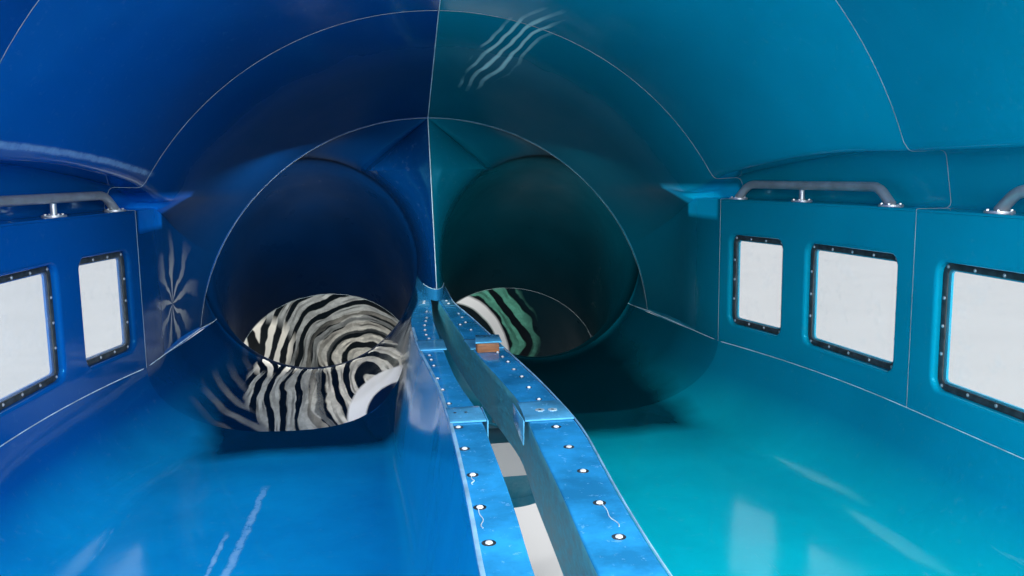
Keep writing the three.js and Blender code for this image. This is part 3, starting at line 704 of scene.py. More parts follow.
def mesh_object(name, bm, materials, nodes=(), smooth_angle=38):
    """Links a finished piece to the body, and hides the nodes that it stands for."""
    mesh = bpy.data.meshes.new(name)
    bm.to_mesh(mesh)
    bm.free()
    mesh.shade_smooth()
    mesh.set_sharp_from_angle(angle=math.radians(smooth_angle))
    for item in materials:
        mesh.materials.append(bpy.data.materials[item])
    piece = bpy.data.objects.new(name, mesh)
    bpy.context.scene.collection.objects.link(piece)
    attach(piece, "root")
    if nodes:
        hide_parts(*nodes)
    return piece


def piped(name, paths, radius, materials, nodes=(), resolution=1):
    """Round beads or bars along paths, made a mesh."""
    curve = bpy.data.curves.new(name + "_path", "CURVE")
    curve.dimensions = "3D"
    curve.bevel_depth = radius
    curve.bevel_resolution = resolution
    curve.use_fill_caps = True
    for path in paths:
        spline = curve.splines.new("POLY")
        spline.points.add(len(path) - 1)
        for point, place in zip(spline.points, path):
            point.co = (*place, 1)
    holder = bpy.data.objects.new(name + "_path", curve)
    bpy.context.scene.collection.objects.link(holder)
    graph = bpy.context.evaluated_depsgraph_get()
    mesh = bpy.data.meshes.new_from_object(holder.evaluated_get(graph))
    bm = bmesh.new()
    bm.from_mesh(mesh)
    bpy.data.objects.remove(holder)
    bpy.data.curves.remove(curve)
    bpy.data.meshes.remove(mesh)
    bmesh.ops.remove_doubles(bm, verts=bm.verts, dist=MERGE)
    bmesh.ops.recalc_face_normals(bm, faces=bm.faces)
    for face in bm.faces:
        face.material_index = 0
    return mesh_object(name, bm, materials, nodes)


def refinish(name, finish):
    """Gives a node of the frame its finish."""
    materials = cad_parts[name].data.materials
    materials.clear()
    materials.append(bpy.data.materials[finish])


# Materials
STREAK_END = 0.1


class Shading:
    """The nodes of one material, with its pattern in Object coordinates."""

    def __init__(self, name, **values):
        self.material = bpy.data.materials.new(name)
        self.material.use_nodes = True
        self.nodes = self.material.node_tree.nodes
        self.links = self.material.node_tree.links
        self.surface = next(node for node in self.nodes if node.type == "BSDF_PRINCIPLED")
        self.place = self.nodes.new("ShaderNodeTexCoord").outputs["Object"]
        for socket, value in values.items():
            self.surface.inputs[socket.replace("_", " ")].default_value = value

    def add(self, kind, outputs=0, **values):
        """A node with its settings and inputs. A socket as a value becomes a link."""
        node = self.nodes.new("ShaderNode" + kind)
        for key, value in values.items():
            if key in node.bl_rna.properties and key not in node.inputs:
                setattr(node, key, value)
                continue
            self.join(node.inputs[key.replace("_", " ")], value)
        return node.outputs[outputs]

    def join(self, socket, value):
        """Links a socket to an input, or sets a value on it."""
        if isinstance(value, bpy.types.NodeSocket):
            self.links.new(value, socket)
        else:
            socket.default_value = value

    def stretched(self, scale, place=(0, 0, 0), vector=None, turn=(0, 0, 0)):
        """Object coordinates, or a vector, scaled, shifted and turned."""
        return self.add("Mapping", Vector=vector or self.place, Location=place, Rotation=turn, Scale=scale)

    def turned(self, middle, angle):
        """Object coordinates round a middle, turned about the upright axis."""
        shifted = self.stretched((1, 1, 1), tuple(-value for value in middle))
        return self.stretched((1, 1, 1), vector=shifted, turn=(0, 0, angle))

    def noise(self, scale, detail=2.0, vector=None, roughness=0.5):
        """Soft noise over the piece, or over a vector."""
        place = vector or self.place
        return self.add("TexNoise", Vector=place, Scale=scale, Detail=detail, Roughness=roughness)

    def span(self, value, low, high, new_low=0.0, new_high=1.0):
        """The value's range as a new range, held at its ends."""
        ends = {"From_Min": low, "From_Max": high, "To_Min": new_low, "To_Max": new_high}
        return self.add("MapRange", clamp=True, Value=value, **ends)

    def times(self, a, b, operation="MULTIPLY"):
        """Two values multiplied, or joined by another operation."""
        node = self.nodes.new("ShaderNodeMath")
        node.operation = operation
        self.join(node.inputs[0], a)
        self.join(node.inputs[1], b)
        return node.outputs[0]

    def plus(self, a, b):
        return self.times(a, b, "ADD")

    def wave(self, value):
        """The sine of a value."""
        return self.times(value, 0.0, "SINE")

    def size(self, value):
        """A value without its sign."""
        return self.times(value, 0.0, "ABSOLUTE")

    def mix(self, share, a, b):
        """The colour a share of the way from a to b."""
        node = self.nodes.new("ShaderNodeMix")
        node.data_type = "RGBA"
        self.join(node.inputs["Factor"], share)
        for socket, value in (("A", a), ("B", b)):
            target = next(item for item in node.inputs if item.name == socket and item.type == "RGBA")
            self.join(target, value if isinstance(value, bpy.types.NodeSocket) else (*value, 1))
        return next(item for item in node.outputs if item.type == "RGBA")

    def blotched(self, pattern, colour, dark, light, low=0.35, high=0.7):
        """A colour that a pattern makes darker and lighter."""
        return self.mix(self.span(pattern, low, high), scaled(colour, dark), scaled(colour, light))

    def gloss(self, pattern, low, high):
        """A roughness that follows a pattern."""
        return self.span(pattern, 0.3, 0.7, low, high)

    def axis(self, letter, vector=None):
        """One object coordinate, or one of a vector's."""
        return self.add("SeparateXYZ", outputs="XYZ".index(letter), Vector=vector or self.place)

    def away(self, vector, place):
        """The distance of a vector from a place."""
        node = self.nodes.new("ShaderNodeVectorMath")
        node.operation = "DISTANCE"
        self.links.new(vector, node.inputs[0])
        node.inputs[1].default_value = place
        return node.outputs["Value"]

    def laid_flat(self, scale, place):
        """Object coordinates as a flat pattern: x across it, and y and z together up it."""
        stretched = self.stretched(scale, place)
        across, back, up = (self.axis(letter, stretched) for letter in "XYZ")
        return self.add("CombineXYZ", X=across, Y=self.plus(back, up))

    def streak(self, level, start, end, slope, width, letter="X", gaps=(0.36, 0.56), ragged=0.06, curve=0.0):
        """A long mark, at its level where y is at its start, and leaning by the slope and the curve."""
        y = self.axis("Y")
        along_y = self.plus(y, -start)
        bent = self.times(along_y, self.plus(self.times(along_y, curve), slope))
        away = self.times(self.plus(self.axis(letter), -level), bent, "SUBTRACT")
        wander = self.plus(self.times(self.noise(11, 4), ragged), -ragged / 2)
        distance = self.size(self.plus(away, wander))
        line = self.span(distance, width * 0.3, width, 1, 0)
        first, last = self.span(y, start, start + STREAK_END), self.span(y, end - STREAK_END, end, 1, 0)
        ends = self.times(first, last)
        return self.times(line, self.times(ends, self.span(self.noise(26, 4, roughness=0.7), *gaps)))

    def bump(self, height, distance, strength=1.0, under=None):
        """A height as a bump, on top of another bump if one is given."""
        more = {} if under is None else {"Normal": under}
        return self.add("Bump", Strength=strength, Distance=distance, Height=height, **more)

    def finish(self, colour, roughness=None, normal=None):
        """Joins the patterns to the surface."""
        for socket, value in (("Base Color", colour), ("Roughness", roughness), ("Normal", normal)):
            if value is not None:
                self.links.new(value, self.surface.inputs[socket])


def scaled(colour, factor):
    return tuple(min(channel * factor, 1) for channel in colour)


# Painted shade: where the gelcoat grows darker towards the tubes, and how dark it ends up
PAINTED_SHADE_SPAN = (REAR + 2.8, REAR + 4.1)
PAINTED_SHADE_SHARE = 0.08
PAINTED_LIGHT_WALL_SPAN = (0.27, 0.33)
SHADE_RUN_START = (REAR + 3.27, REAR + 3.43)
SHADE_RUN_EDGE = (1.2, 1.36)


def painted_shade_run(look, side):
    """How much a place lies in the painted shade of the run into a tube."""
    out = look.times(look.axis("X"), SIGN[side])
    rough = look.times(look.noise(2.6, 3), 0.3)
    across = look.span(look.plus(out, rough), *SHADE_RUN_EDGE, 1, 0)
    start = look.span(look.plus(look.axis("Y"), look.times(rough, 0.5)), *SHADE_RUN_START)
    low = look.span(look.axis("Z"), STAND_HEIGHT + 0.3, STAND_HEIGHT + 0.45, 1, 0)
    return look.times(look.times(across, start), low)


PAINTED_NICHE_LIGHT = (REAR + 3.62, REAR + 4.02)
PAINTED_NICHE_LIGHT_HEIGHT = (STAND_HEIGHT + 0.94, STAND_HEIGHT + 1.13)
PAINTED_NICHE_LIGHT_EDGE = 0.03
DULL_START = (REAR + 3.8, REAR + 4.02)
DULL = 0.45


def painted_niche_light_mask(look):
    """How much a place lies in the painted light on the niche's closing end, which faces the daylight."""
    inside = None
    for letter, (low, high) in (("Y", PAINTED_NICHE_LIGHT), ("Z", PAINTED_NICHE_LIGHT_HEIGHT)):
        place = look.axis(letter)
        above = look.span(place, low, low + PAINTED_NICHE_LIGHT_EDGE)
        between = look.times(above, look.span(place, high - PAINTED_NICHE_LIGHT_EDGE, high, 1, 0))
        inside = between if inside is None else look.times(inside, between)
    return inside


def with_painted_shade(look, base, colour, depth):
    """The colour with painted shade: darker towards the tubes, by the depth."""
    shade = look.span(look.axis("Y"), *PAINTED_SHADE_SPAN, 0.0, depth)
    return look.mix(shade, base, scaled(colour, PAINTED_SHADE_SHARE))


def gelcoat_colour(look, colour, light, worn_floor_and_lit_wall, depth=0.5):
    """Cloudy colour, paler on the worn floor, with painted light on the lane walls and painted shade darker
    towards the tubes, and its scuffs.
    """
    base = look.blotched(look.noise(0.9, 3), colour, 0.85, 1.12)
    floor = look.span(look.axis("Z"), STAND_HEIGHT + 0.01, STAND_HEIGHT + 0.2, 1, 0)
    worn = look.times(floor, look.span(look.noise(2.2, 5, roughness=0.65), 0.25, 0.75, 0.55, 1.0))
    base = look.mix(worn, base, worn_floor_and_lit_wall)
    # Painted light: the lane walls below the flange take the pale floor colour, for the windows' daylight
    # falling on them
    painted_wall_light = look.span(look.size(look.axis("X")), *PAINTED_LIGHT_WALL_SPAN, 1, 0)
    low = look.span(look.axis("Z"), STAND_HEIGHT + DIVIDER_HEIGHT, STAND_HEIGHT + DIVIDER_HEIGHT + 0.02, 1, 0)
    base = look.mix(look.times(look.times(painted_wall_light, low), 0.9), base, worn_floor_and_lit_wall)
    scuff = look.noise(1.0, 6, look.stretched((11.0, 1.1, 11.0)), 0.7)
    marks = look.times(look.span(scuff, 0.66, 0.74), look.times(floor, 0.4))
    base = look.mix(marks, base, light)
    dust = look.noise(34, 4, roughness=0.7)
    base = look.mix(look.times(look.span(dust, 0.58, 0.8), 0.06), base, light)
    return with_painted_shade(look, base, colour, depth), marks


def gelcoat_surface(look, marks, dull=0.0):
    """The gloss and the slightly wavy face of moulded gelcoat."""
    gloss = look.span(look.noise(5.0, 4), 0.3, 0.75, 0.06, 0.17)
    gloss = look.plus(gloss, look.times(marks, 0.5))
    gloss = look.plus(gloss, look.span(look.axis("Y"), *DULL_START, 0, dull))
    wave = look.bump(look.noise(1.7, 1.5), 0.03, 0.35)
    wave = look.bump(look.noise(9.0, 2), 0.0014, 0.35, wave)
    return gloss, look.bump(look.noise(260, 2), 0.0004, 0.1, wave)


# Painted reflections (glints) on the gelcoat: their middles and reach, and the ceiling's turn, size and
# fineness
WALL_GLINTS = (0, 0.43, 2.95)
WALL_GLINT_REACH = (0.1, 0.42)
CEILING_GLINTS = (0.345, 0.1, 0)
CEILING_GLINT_TURN = math.radians(-21.4)
CEILING_GLINT_SIZE = (9.0, 2.3, 0)
PALE_GLINT = (0.42, 0.75, 0.74)
GLINT_LINES = 14.0


def gelcoat(name, colour, light, worn_floor_and_lit_wall, streaks=(), depth=0.5, side=None):
    """Glossy moulded gelcoat."""
    look = Shading(name, IOR=1.45, Specular_Tint=GELCOAT_TINT)
    base, marks = gelcoat_colour(look, colour, light, worn_floor_and_lit_wall, depth)
    if side:
        # Painted shade on the run into a tube
        base = look.mix(look.times(painted_shade_run(look, side), 0.93), base, scaled(colour, 0.1))
        # Painted light on the niche's closing end
        base = look.mix(painted_niche_light_mask(look), base, scaled(colour, 1.6))
    # Painted reflections: grey rays on the left funnel's wall, fine pale lines on the right ceiling
    if side == "left":
        base = look.mix(wall_glints(look), base, GREY)
    if side == "right":
        base = look.mix(ceiling_glints(look), base, PALE_GLINT)
    # Scratches, and on the blue half the painted highlight along the hood's lip
    for streak in streaks:
        marks = look.times(marks, look.streak(*streak), "MAXIMUM")
        base = look.mix(look.times(look.streak(*streak), 0.6), base, light)
    look.finish(base, *gelcoat_surface(look, marks, DULL if side else 0.0))


def worn_gelcoat(name, colour, light):
    """Gelcoat of the flange tops and their plates: blotchy, rubbed and specked, with painted shade darker
    towards the tubes.
    """
    look = Shading(name, IOR=1.45, Specular_Tint=GELCOAT_TINT)
    base = look.blotched(look.noise(6.0, 5, roughness=0.65), colour, 0.6, 1.15, 0.34, 0.66)
    specks = look.span(look.noise(40, 5, roughness=0.75), 0.6, 0.72)
    base = look.mix(look.times(specks, 0.35), base, light)
    look.finish(with_painted_shade(look, base, colour, 0.5), *gelcoat_surface(look, specks))


def wall_glints(look):
    """Painted reflection: grey rays round a point of the left funnel's wall, where it mirrors the light in
    the tube.
    """
    middle_y, middle_z = WALL_GLINTS[1:]
    along_y = look.plus(look.axis("Y"), -middle_y)
    up = look.plus(look.axis("Z"), -middle_z)
    turn = look.times(look.times(up, along_y, "ARCTAN2"), 9.0)
    phase = look.plus(turn, look.times(look.noise(3.2, 3), 13.0))
    rays = look.span(look.wave(phase), 0.25, 0.75)
    flat = look.add("CombineXYZ", Y=look.axis("Y"), Z=look.axis("Z"))
    reach = look.plus(look.away(flat, WALL_GLINTS), look.times(look.noise(5.0, 3), 0.1))
    lobes = look.span(reach, *WALL_GLINT_REACH, 1, 0)
    outer = look.span(look.axis("X"), -1.2, -1.3)
    return look.times(look.times(rays, lobes), look.times(outer, 0.55))


def ceiling_glints(look):
    """Painted reflection: fine pale lines on the right half of the ceiling, beside the crown."""
    place = look.stretched(CEILING_GLINT_SIZE, vector=look.turned(CEILING_GLINTS, CEILING_GLINT_TURN))
    across = look.times(look.axis("X", place), GLINT_LINES)
    phase = look.plus(across, look.times(look.noise(3.0, 2), GLINT_LINES))
    fine = look.span(look.wave(phase), 0.1, 0.8)
    high = look.span(look.axis("Z"), STAND_HEIGHT + 1.5, STAND_HEIGHT + 1.6)
    ragged = look.times(look.noise(6.0, 3), 0.8)
    patch = look.span(look.plus(look.away(place, (0, 0, 0)), ragged), 0.95, 1.45, 1, 0)
    return look.times(look.times(fine, patch), look.times(high, 0.75))


# Tones of the painted reflections in the tubes, on the channel and on the funnel wall
BLACK = (0.002, 0.004, 0.006)
WHITE = (0.95, 0.95, 0.93)
CREAM = (0.86, 0.83, 0.72)
GREY = (0.42, 0.44, 0.42)
MINT = (0.12, 0.42, 0.3)
NAVY = (0.002, 0.012, 0.045)


# The painted reflections: the middles of their windings, folds and bows, and how fine they are
MIDDLE = (0.6, -0.22, 0.0)
FOLD = (0.72, 0.3, 0.0)
BOW = (1.0, -0.72, 0.0)
BOW_RADII = (0.44, 0.66)
RIGHT_BOW = (-0.9, -0.2, 0.0)
RIGHT_BOW_RADII = (0.98, 1.1)
FINE_LINES = 2.6
TAIL_MIDDLE = (0.09, 0.83, 0)
PATTERN_REACH = (1.06, 1.12)

# Where the painted reflections lie on the channel and in the tubes: the scale and shift of their Object
# coordinates
CHANNEL_PATTERN = ((2.375, 0.69, 2.75), (1.496, -7.389, 0))
LEFT_TUBE_PATTERN = ((1.54, 0, 1.25), (1.232, -2.44, 0))
RIGHT_TUBE_PATTERN = ((1.45, 0, 1.25), (-1.044, -2.44, 0))
FLOOR_TURN = 0.27


def wound_bands(look, vector, middle, fineness, pale):
    """Painted reflection: bands of a pale tone and black, wound round a middle and warped like wet marble."""
    warp = look.noise(1.1, 2, vector, 0.4)
    grain = look.noise(7.0, 3, vector, 0.6)
    phase = look.plus(look.times(look.away(vector, middle), fineness), look.times(warp, 22.0))
    phase = look.plus(phase, look.times(grain, 0.9))
    width = look.span(look.noise(2.6, 2, vector), 0.35, 0.65, -0.75, 0.55)
    lines = look.span(look.times(look.wave(phase), width, "SUBTRACT"), -0.18, 0.18)
    fine = look.span(look.wave(look.times(phase, FINE_LINES)), -0.95, 0.1)
    fine = look.times(fine, look.span(look.noise(3.4, 2, vector), 0.42, 0.62, 1, 0), "MAXIMUM")
    tone = look.mix(look.span(grain, 0.4, 0.62), scaled(pale, 0.62), pale)
    return look.mix(lines, BLACK, look.mix(fine, scaled(pale, 0.22), tone))


def folded_bands(look, vector):
    """Painted reflection: bands that meet in a row of upright folds."""
    side = look.size(look.times(look.axis("X", vector), -FOLD[0], "SUBTRACT"))
    rise = look.axis("Y", vector)
    phase = look.times(look.times(side, 46.0), look.times(rise, 17.0), "SUBTRACT")
    phase = look.plus(phase, look.times(look.noise(3.0, 2, vector), 7.0))
    return look.mix(look.span(look.wave(phase), -0.15, 0.3), BLACK, CREAM)


def bow(look, vector, middle, radii):
    """How much a place lies in the bold white bow of painted highlight, and how much inside it."""
    reach = look.plus(look.away(vector, middle), look.times(look.noise(2.4, 2, vector), 0.05))
    inner, outer = radii
    edge = (inner + 0.01, inner + 0.035)
    inside = look.span(reach, *edge, 1, 0)
    white = look.times(look.span(reach, *edge), look.span(reach, outer, outer + 0.03, 1, 0))
    return white, inside


def painted_reflections(look, vector):
    """The left tube's painted reflections: wound bands, cream near their middle, folds and a bold white bow
    of painted highlight.
    """
    near = look.away(vector, MIDDLE)
    share = look.span(near, 0.55, 0.95)
    cream, grey = (wound_bands(look, vector, MIDDLE, *kind) for kind in ((32.0, CREAM), (44.0, GREY)))
    base = look.mix(share, cream, grey)
    folds = look.span(look.away(vector, (-FOLD[0], FOLD[1], 0)), 0.3, 0.42, 1, 0)
    base = look.mix(folds, base, folded_bands(look, vector))
    white, inside = bow(look, vector, BOW, BOW_RADII)
    base = look.mix(inside, base, NAVY)
    return look.mix(white, base, WHITE)


def channel_gelcoat(name, colour, light, worn_floor_and_lit_wall, dark, swirl):
    """The run into a tube, in painted shade. The blue one carries a painted reflection of the lining beyond
    it.
    """
    look = Shading(name, IOR=1.5, Specular_Tint=GELCOAT_TINT)
    base, marks = gelcoat_colour(look, colour, light, worn_floor_and_lit_wall, 0.85)
    shade_run = painted_shade_run(look, "left" if swirl else "right")
    base = look.mix(shade_run, base, dark)
    if swirl:
        # Painted reflection of the lining beyond, on the channel's floor
        vector = look.laid_flat(*CHANNEL_PATTERN)
        reach = look.plus(look.away(vector, (0, 0, 0)), look.times(look.noise(4.0, 3, vector), 0.16))
        base = look.mix(look.span(reach, *PATTERN_REACH, 1, 0), base, painted_reflections(look, vector))
        # Grey lines of painted reflection fanning out behind the swirl
        tail = look.away(vector, TAIL_MIDDLE)
        phase = look.plus(look.times(tail, 44.0), look.times(look.noise(1.3, 2, vector), 9.0))
        waves = look.span(look.wave(phase), -0.1, 0.8)
        lines = look.times(waves, look.span(reach, *PATTERN_REACH))
        lines = look.times(lines, look.times(look.span(tail, 1.84, 1.98, 1, 0), shade_run))
        lines = look.times(lines, look.span(look.noise(2.2, 3, vector), 0.34, 0.6, 0.35, 1.0))
        lines = look.times(lines, look.span(tail, 1.5, 1.84, 0.2, 1.0))
        base = look.mix(look.times(lines, 0.45), base, GREY)
    look.finish(base, *gelcoat_surface(look, marks))


def tube_lining(name, colour, side):
    """Tube wall, a dark copy of the gelcoat in painted shade. Past the ring its floor carries painted
    reflections in white, cream, grey and black.
    """
    look = Shading(name, IOR=1.5, Specular_IOR_Level=0.04, Specular_Tint=GELCOAT_TINT)
    node = look.nodes.new("ShaderNodeUVMap")
    node.uv_map = TUBE_MAP
    turn, distance = (look.axis(letter, node.outputs["UV"]) for letter in "XY")
    if side == "left":
        reflection_colour = painted_reflections(look, look.laid_flat(*LEFT_TUBE_PATTERN))
    else:
        vector = look.laid_flat(*RIGHT_TUBE_PATTERN)
        white, inside = bow(look, vector, RIGHT_BOW, RIGHT_BOW_RADII)
        reflection_colour = wound_bands(look, vector, RIGHT_BOW, 30.0, MINT)
        reflection_colour = look.mix(white, look.mix(inside, reflection_colour, scaled(colour, 0.5)), WHITE)
        reach = look.plus(look.away(vector, RIGHT_BOW), look.times(look.noise(3.0, 3, vector), 0.2))
        reflection_colour = look.mix(look.span(reach, 1.45, 1.6), reflection_colour, colour)
    floor = look.span(look.size(turn), FLOOR_TURN, FLOOR_TURN + 0.02)
    past = look.times(look.span(distance, RING_PLACE - 0.01, RING_PLACE + 0.01), floor)
    clouds = look.mix(look.span(look.noise(1.4, 3), 0.35, 0.7), scaled(colour, 0.6), colour)
    base = look.mix(past, clouds, reflection_colour)
    gloss = look.gloss(look.noise(6, 3), 0.26, 0.42)
    look.finish(base, gloss, look.bump(look.noise(3, 2), 0.02, 0.3))


def outside_laminate(name, colour):
    """Painted back of a hand-laid laminate, with its weave showing through."""
    look = Shading(name, IOR=1.5)
    base = look.blotched(look.noise(1.2, 4), colour, 0.75, 1.25, 0.3, 0.7)
    streak = look.noise(1.0, 5, look.stretched((6.0, 6.0, 0.7)), 0.6)
    base = look.mix(look.times(look.span(streak, 0.5, 0.8), 0.25), base, RESIN_STREAK)
    mat = look.add("TexVoronoi", Vector=look.place, Scale=95.0)
    rolled = look.noise(26, 4, roughness=0.6)
    normal = look.bump(rolled, 0.0022, 0.5, look.bump(mat, 0.001, 0.4))
    look.finish(base, look.gloss(rolled, 0.32, 0.55), normal)


def raw_laminate(name, colour):
    """Bare laminate in the divider gap, with its chopped strands."""
    look = Shading(name, IOR=1.5)
    strands = look.noise(60, 5, look.stretched((1.0, 0.35, 1.0)), 0.7)
    base = look.blotched(strands, colour, 0.6, 1.4)
    base = look.mix(look.span(look.noise(3, 3), 0.5, 0.75, 0, 0.5), base, GAP_STAIN)
    look.finish(base, look.gloss(strands, 0.35, 0.6), look.bump(strands, 0.0012, 0.5))


def sealant(name, colour):
    """Cured sealant: matt, patchy and a little lumpy."""
    look = Shading(name, IOR=1.45)
    base = look.blotched(look.noise(14, 3), colour, 0.62, 1.12)
    gloss = look.gloss(look.noise(40, 2), 0.3, 0.5)
    look.finish(base, gloss, look.bump(look.noise(160, 2), 0.0006, 0.5))


def rubber(name, colour):
    """Dull black rubber with dusty patches."""
    look = Shading(name, IOR=1.5)
    base = look.mix(look.span(look.noise(30, 3), 0.4, 0.7), colour, scaled(colour, 2.4))
    gloss = look.gloss(look.noise(80, 2), 0.42, 0.65)
    look.finish(base, gloss, look.bump(look.noise(300, 2), 0.0004, 0.4))


def stainless(name, colour):
    """Brushed stainless steel with faint clouding."""
    look = Shading(name, Metallic=0.7)
    brush = look.noise(1.0, 3, look.stretched((420, 24, 420)), 0.6)
    base = look.mix(look.span(look.noise(12, 4), 0.35, 0.75), scaled(colour, 0.72), colour)
    look.finish(base, look.gloss(brush, 0.32, 0.48), look.bump(brush, 0.0003, 0.3))


def galvanised(name, colour):
    """Hot-dip zinc: spangle, dull drain streaks and a little white rust."""
    look = Shading(name, Metallic=0.75)
    spangle = look.add("TexVoronoi", outputs="Color", Vector=look.place, Scale=34.0)
    grain = look.add("SeparateColor", Color=spangle)
    base = look.blotched(grain, colour, 0.72, 1.12, 0.0, 1.0)
    drain = look.noise(1.0, 5, look.stretched((16, 16, 1.1)), 0.6)
    base = look.mix(look.times(look.span(drain, 0.5, 0.75), 0.45), base, DRAIN_STREAK)
    rust = look.span(look.noise(7, 6, roughness=0.75), 0.62, 0.74)
    base = look.mix(look.times(rust, 0.5), base, WHITE_RUST)
    gloss = look.plus(look.span(grain, 0.0, 1.0, 0.34, 0.52), look.times(rust, 0.2))
    look.finish(base, gloss, look.bump(look.noise(46, 3), 0.0008, 0.25))


def clear_sheet(name):
    """Clear acrylic, brighter at a low angle, with faint water marks."""
    look = Shading(name, Roughness=0.03, IOR=1.49)
    facing = look.add("LayerWeight", outputs="Facing", Blend=0.25)
    marks = look.span(look.noise(9, 5, roughness=0.7), 0.52, 0.8)
    tint = look.mix(marks, CLEAN_SHEET, WATER_MARK)
    alpha = look.plus(look.span(facing, 0.2, 1.0, 0.05, 0.55), look.times(marks, 0.1))
    look.links.new(alpha, look.surface.inputs["Alpha"])
    look.finish(tint)


def timber(name, colour):
    """Rough-sawn wood with its grain along the piece."""
    look = Shading(name)
    grain = look.noise(1.0, 5, look.stretched((14, 160, 160)), 0.6)
    base = look.blotched(grain, colour, 0.55, 1.5)
    look.finish(base, look.gloss(grain, 0.5, 0.75), look.bump(grain, 0.001, 0.5))


def studio_floor(name, colour):
    """Plain pale floor, slightly cloudy."""
    look = Shading(name)
    base = look.blotched(look.noise(0.4, 3), colour, 0.97, 1.03, 0.3, 0.7)
    look.finish(base, look.gloss(look.noise(3, 2), 0.6, 0.75))


# Scuffs, and on the blue half also the colour of the painted highlight on the hood's lip
BLUE_SCUFF_AND_HIGHLIGHT = (0.35, 0.6, 0.85)
TEAL_SCUFF = (0.35, 0.7, 0.75)
BOLT_CAP = (0.8, 0.84, 0.86)
EDGE_HIGHLIGHT = (0.34, 0.62, 0.84)
GELCOAT_TINT = (0.1, 0.7, 1.0, 1.0)
RESIN_STREAK = (0.3, 0.38, 0.42)
GAP_STAIN = (0.13, 0.26, 0.27)
DRAIN_STREAK = (0.5, 0.51, 0.5)
WHITE_RUST = (0.62, 0.61, 0.57)
CLEAN_SHEET = (0.75, 0.86, 0.88)
WATER_MARK = (0.95, 0.96, 0.96)

# Scratches on the blue floor: x, start and end in y, slope and half width
BLUE_STREAKS = [
    (-0.812, -1.8, -0.82, 0.04, 0.016, "X", (0.26, 0.6), 0.035),
    (-0.866, -1.8, -1.24, 0.03, 0.01, "X", (0.26, 0.6), 0.03),
]

# Painted highlight along the left hood's lip, measured upwards in the same way
PAINTED_LIP_HIGHLIGHT = (STAND_HEIGHT + 1.304, REAR + 2.3, REAR + 3.64, 0.0, 0.015, "Z", (0.1, 0.75), 0.006, -0.056)


class SLIDE_OT_finishes(bpy.types.Operator):
    """Make the gelcoat, laminate, rubber, metal and timber finishes"""

    bl_idname = "slide.finishes"
    bl_label = "Finishes"

    def execute(self, context):
        colours = context.scene.slide_colours
        blue, teal = colours.blue, colours.teal
        blue_floor, teal_floor = colours.blue_floor, colours.teal_floor
        gelcoat("blue_gelcoat", blue, BLUE_SCUFF_AND_HIGHLIGHT, blue_floor, [*BLUE_STREAKS, PAINTED_LIP_HIGHLIGHT], 0.8, "left")
        gelcoat("teal_gelcoat", teal, TEAL_SCUFF, teal_floor, (), 0.8, "right")
        worn_gelcoat("flange_gelcoat", colours.blue_light, BLUE_SCUFF_AND_HIGHLIGHT)
        # Painted shade: the runs into the tubes take a dark copy of the gelcoat
        channel_gelcoat("blue_gelcoat_channel", blue, BLUE_SCUFF_AND_HIGHLIGHT, blue_floor, scaled(blue, 0.1), True)
        channel_gelcoat("teal_gelcoat_channel", teal, TEAL_SCUFF, teal_floor, scaled(teal, 0.06), False)
        # Painted shade: the webs and the tube linings are darker copies of the gelcoat
        gelcoat("blue_web", scaled(blue, 0.27), BLUE_SCUFF_AND_HIGHLIGHT, blue_floor, depth=0.0)
        gelcoat("teal_web", scaled(teal, 0.3), TEAL_SCUFF, teal_floor, depth=0.0)
        tube_lining("blue_tube_lining", scaled(blue, 0.07), "left")
        tube_lining("teal_tube_lining", scaled(teal, 0.038), "right")
        outside_laminate("blue_outside", colours.blue)
        outside_laminate("teal_outside", scaled(teal, 0.65))
        raw_laminate("raw_laminate", colours.raw)
        worn_gelcoat("joint_plate", colours.joint_plate, BLUE_SCUFF_AND_HIGHLIGHT)
        sealant("seam_sealant", colours.sealant)
        # Painted shade: the ring seams' sealant is a darker copy of the seam sealant
        sealant("ring_sealant", scaled(colours.sealant, 0.45))
        sealant("bolt_caps", BOLT_CAP)
        # Painted highlight for the lane edges of the divider flanges
        sealant("pale_edge", EDGE_HIGHLIGHT)
        rubber("gasket_rubber", colours.rubber)
        stainless("stainless_steel", colours.steel)
        galvanised("galvanised_steel", colours.zinc)
        clear_sheet("clear_acrylic")
        timber("packing_timber", colours.timber)
        studio_floor("studio_floor", colours.stage)
        return {"FINISHED"}


FINISH = {
    "left": "blue_gelcoat blue_outside flange_gelcoat raw_laminate blue_tube_lining blue_web".split(),
    "right": "teal_gelcoat teal_outside flange_gelcoat raw_laminate teal_tube_lining teal_web".split(),
}
CHANNEL_FINISH = {side: [f"{finishes[0]}_channel", *finishes[1:]] for side, finishes in FINISH.items()}


def shell_piece(side, part, bm):
    finishes = CHANNEL_FINISH if part == "channel" else FINISH
    return mesh_object(f"{side}_{part}_shell", bm, finishes[side], [f"{side}_{part}"])


TUB_FLANGE_START = TOP_COLUMNS + 13


def tub_outside(side, y):
    """The part of a tub's section that a joint flange goes round."""
    return tub_line(side, y)[TUB_FLANGE_START:]


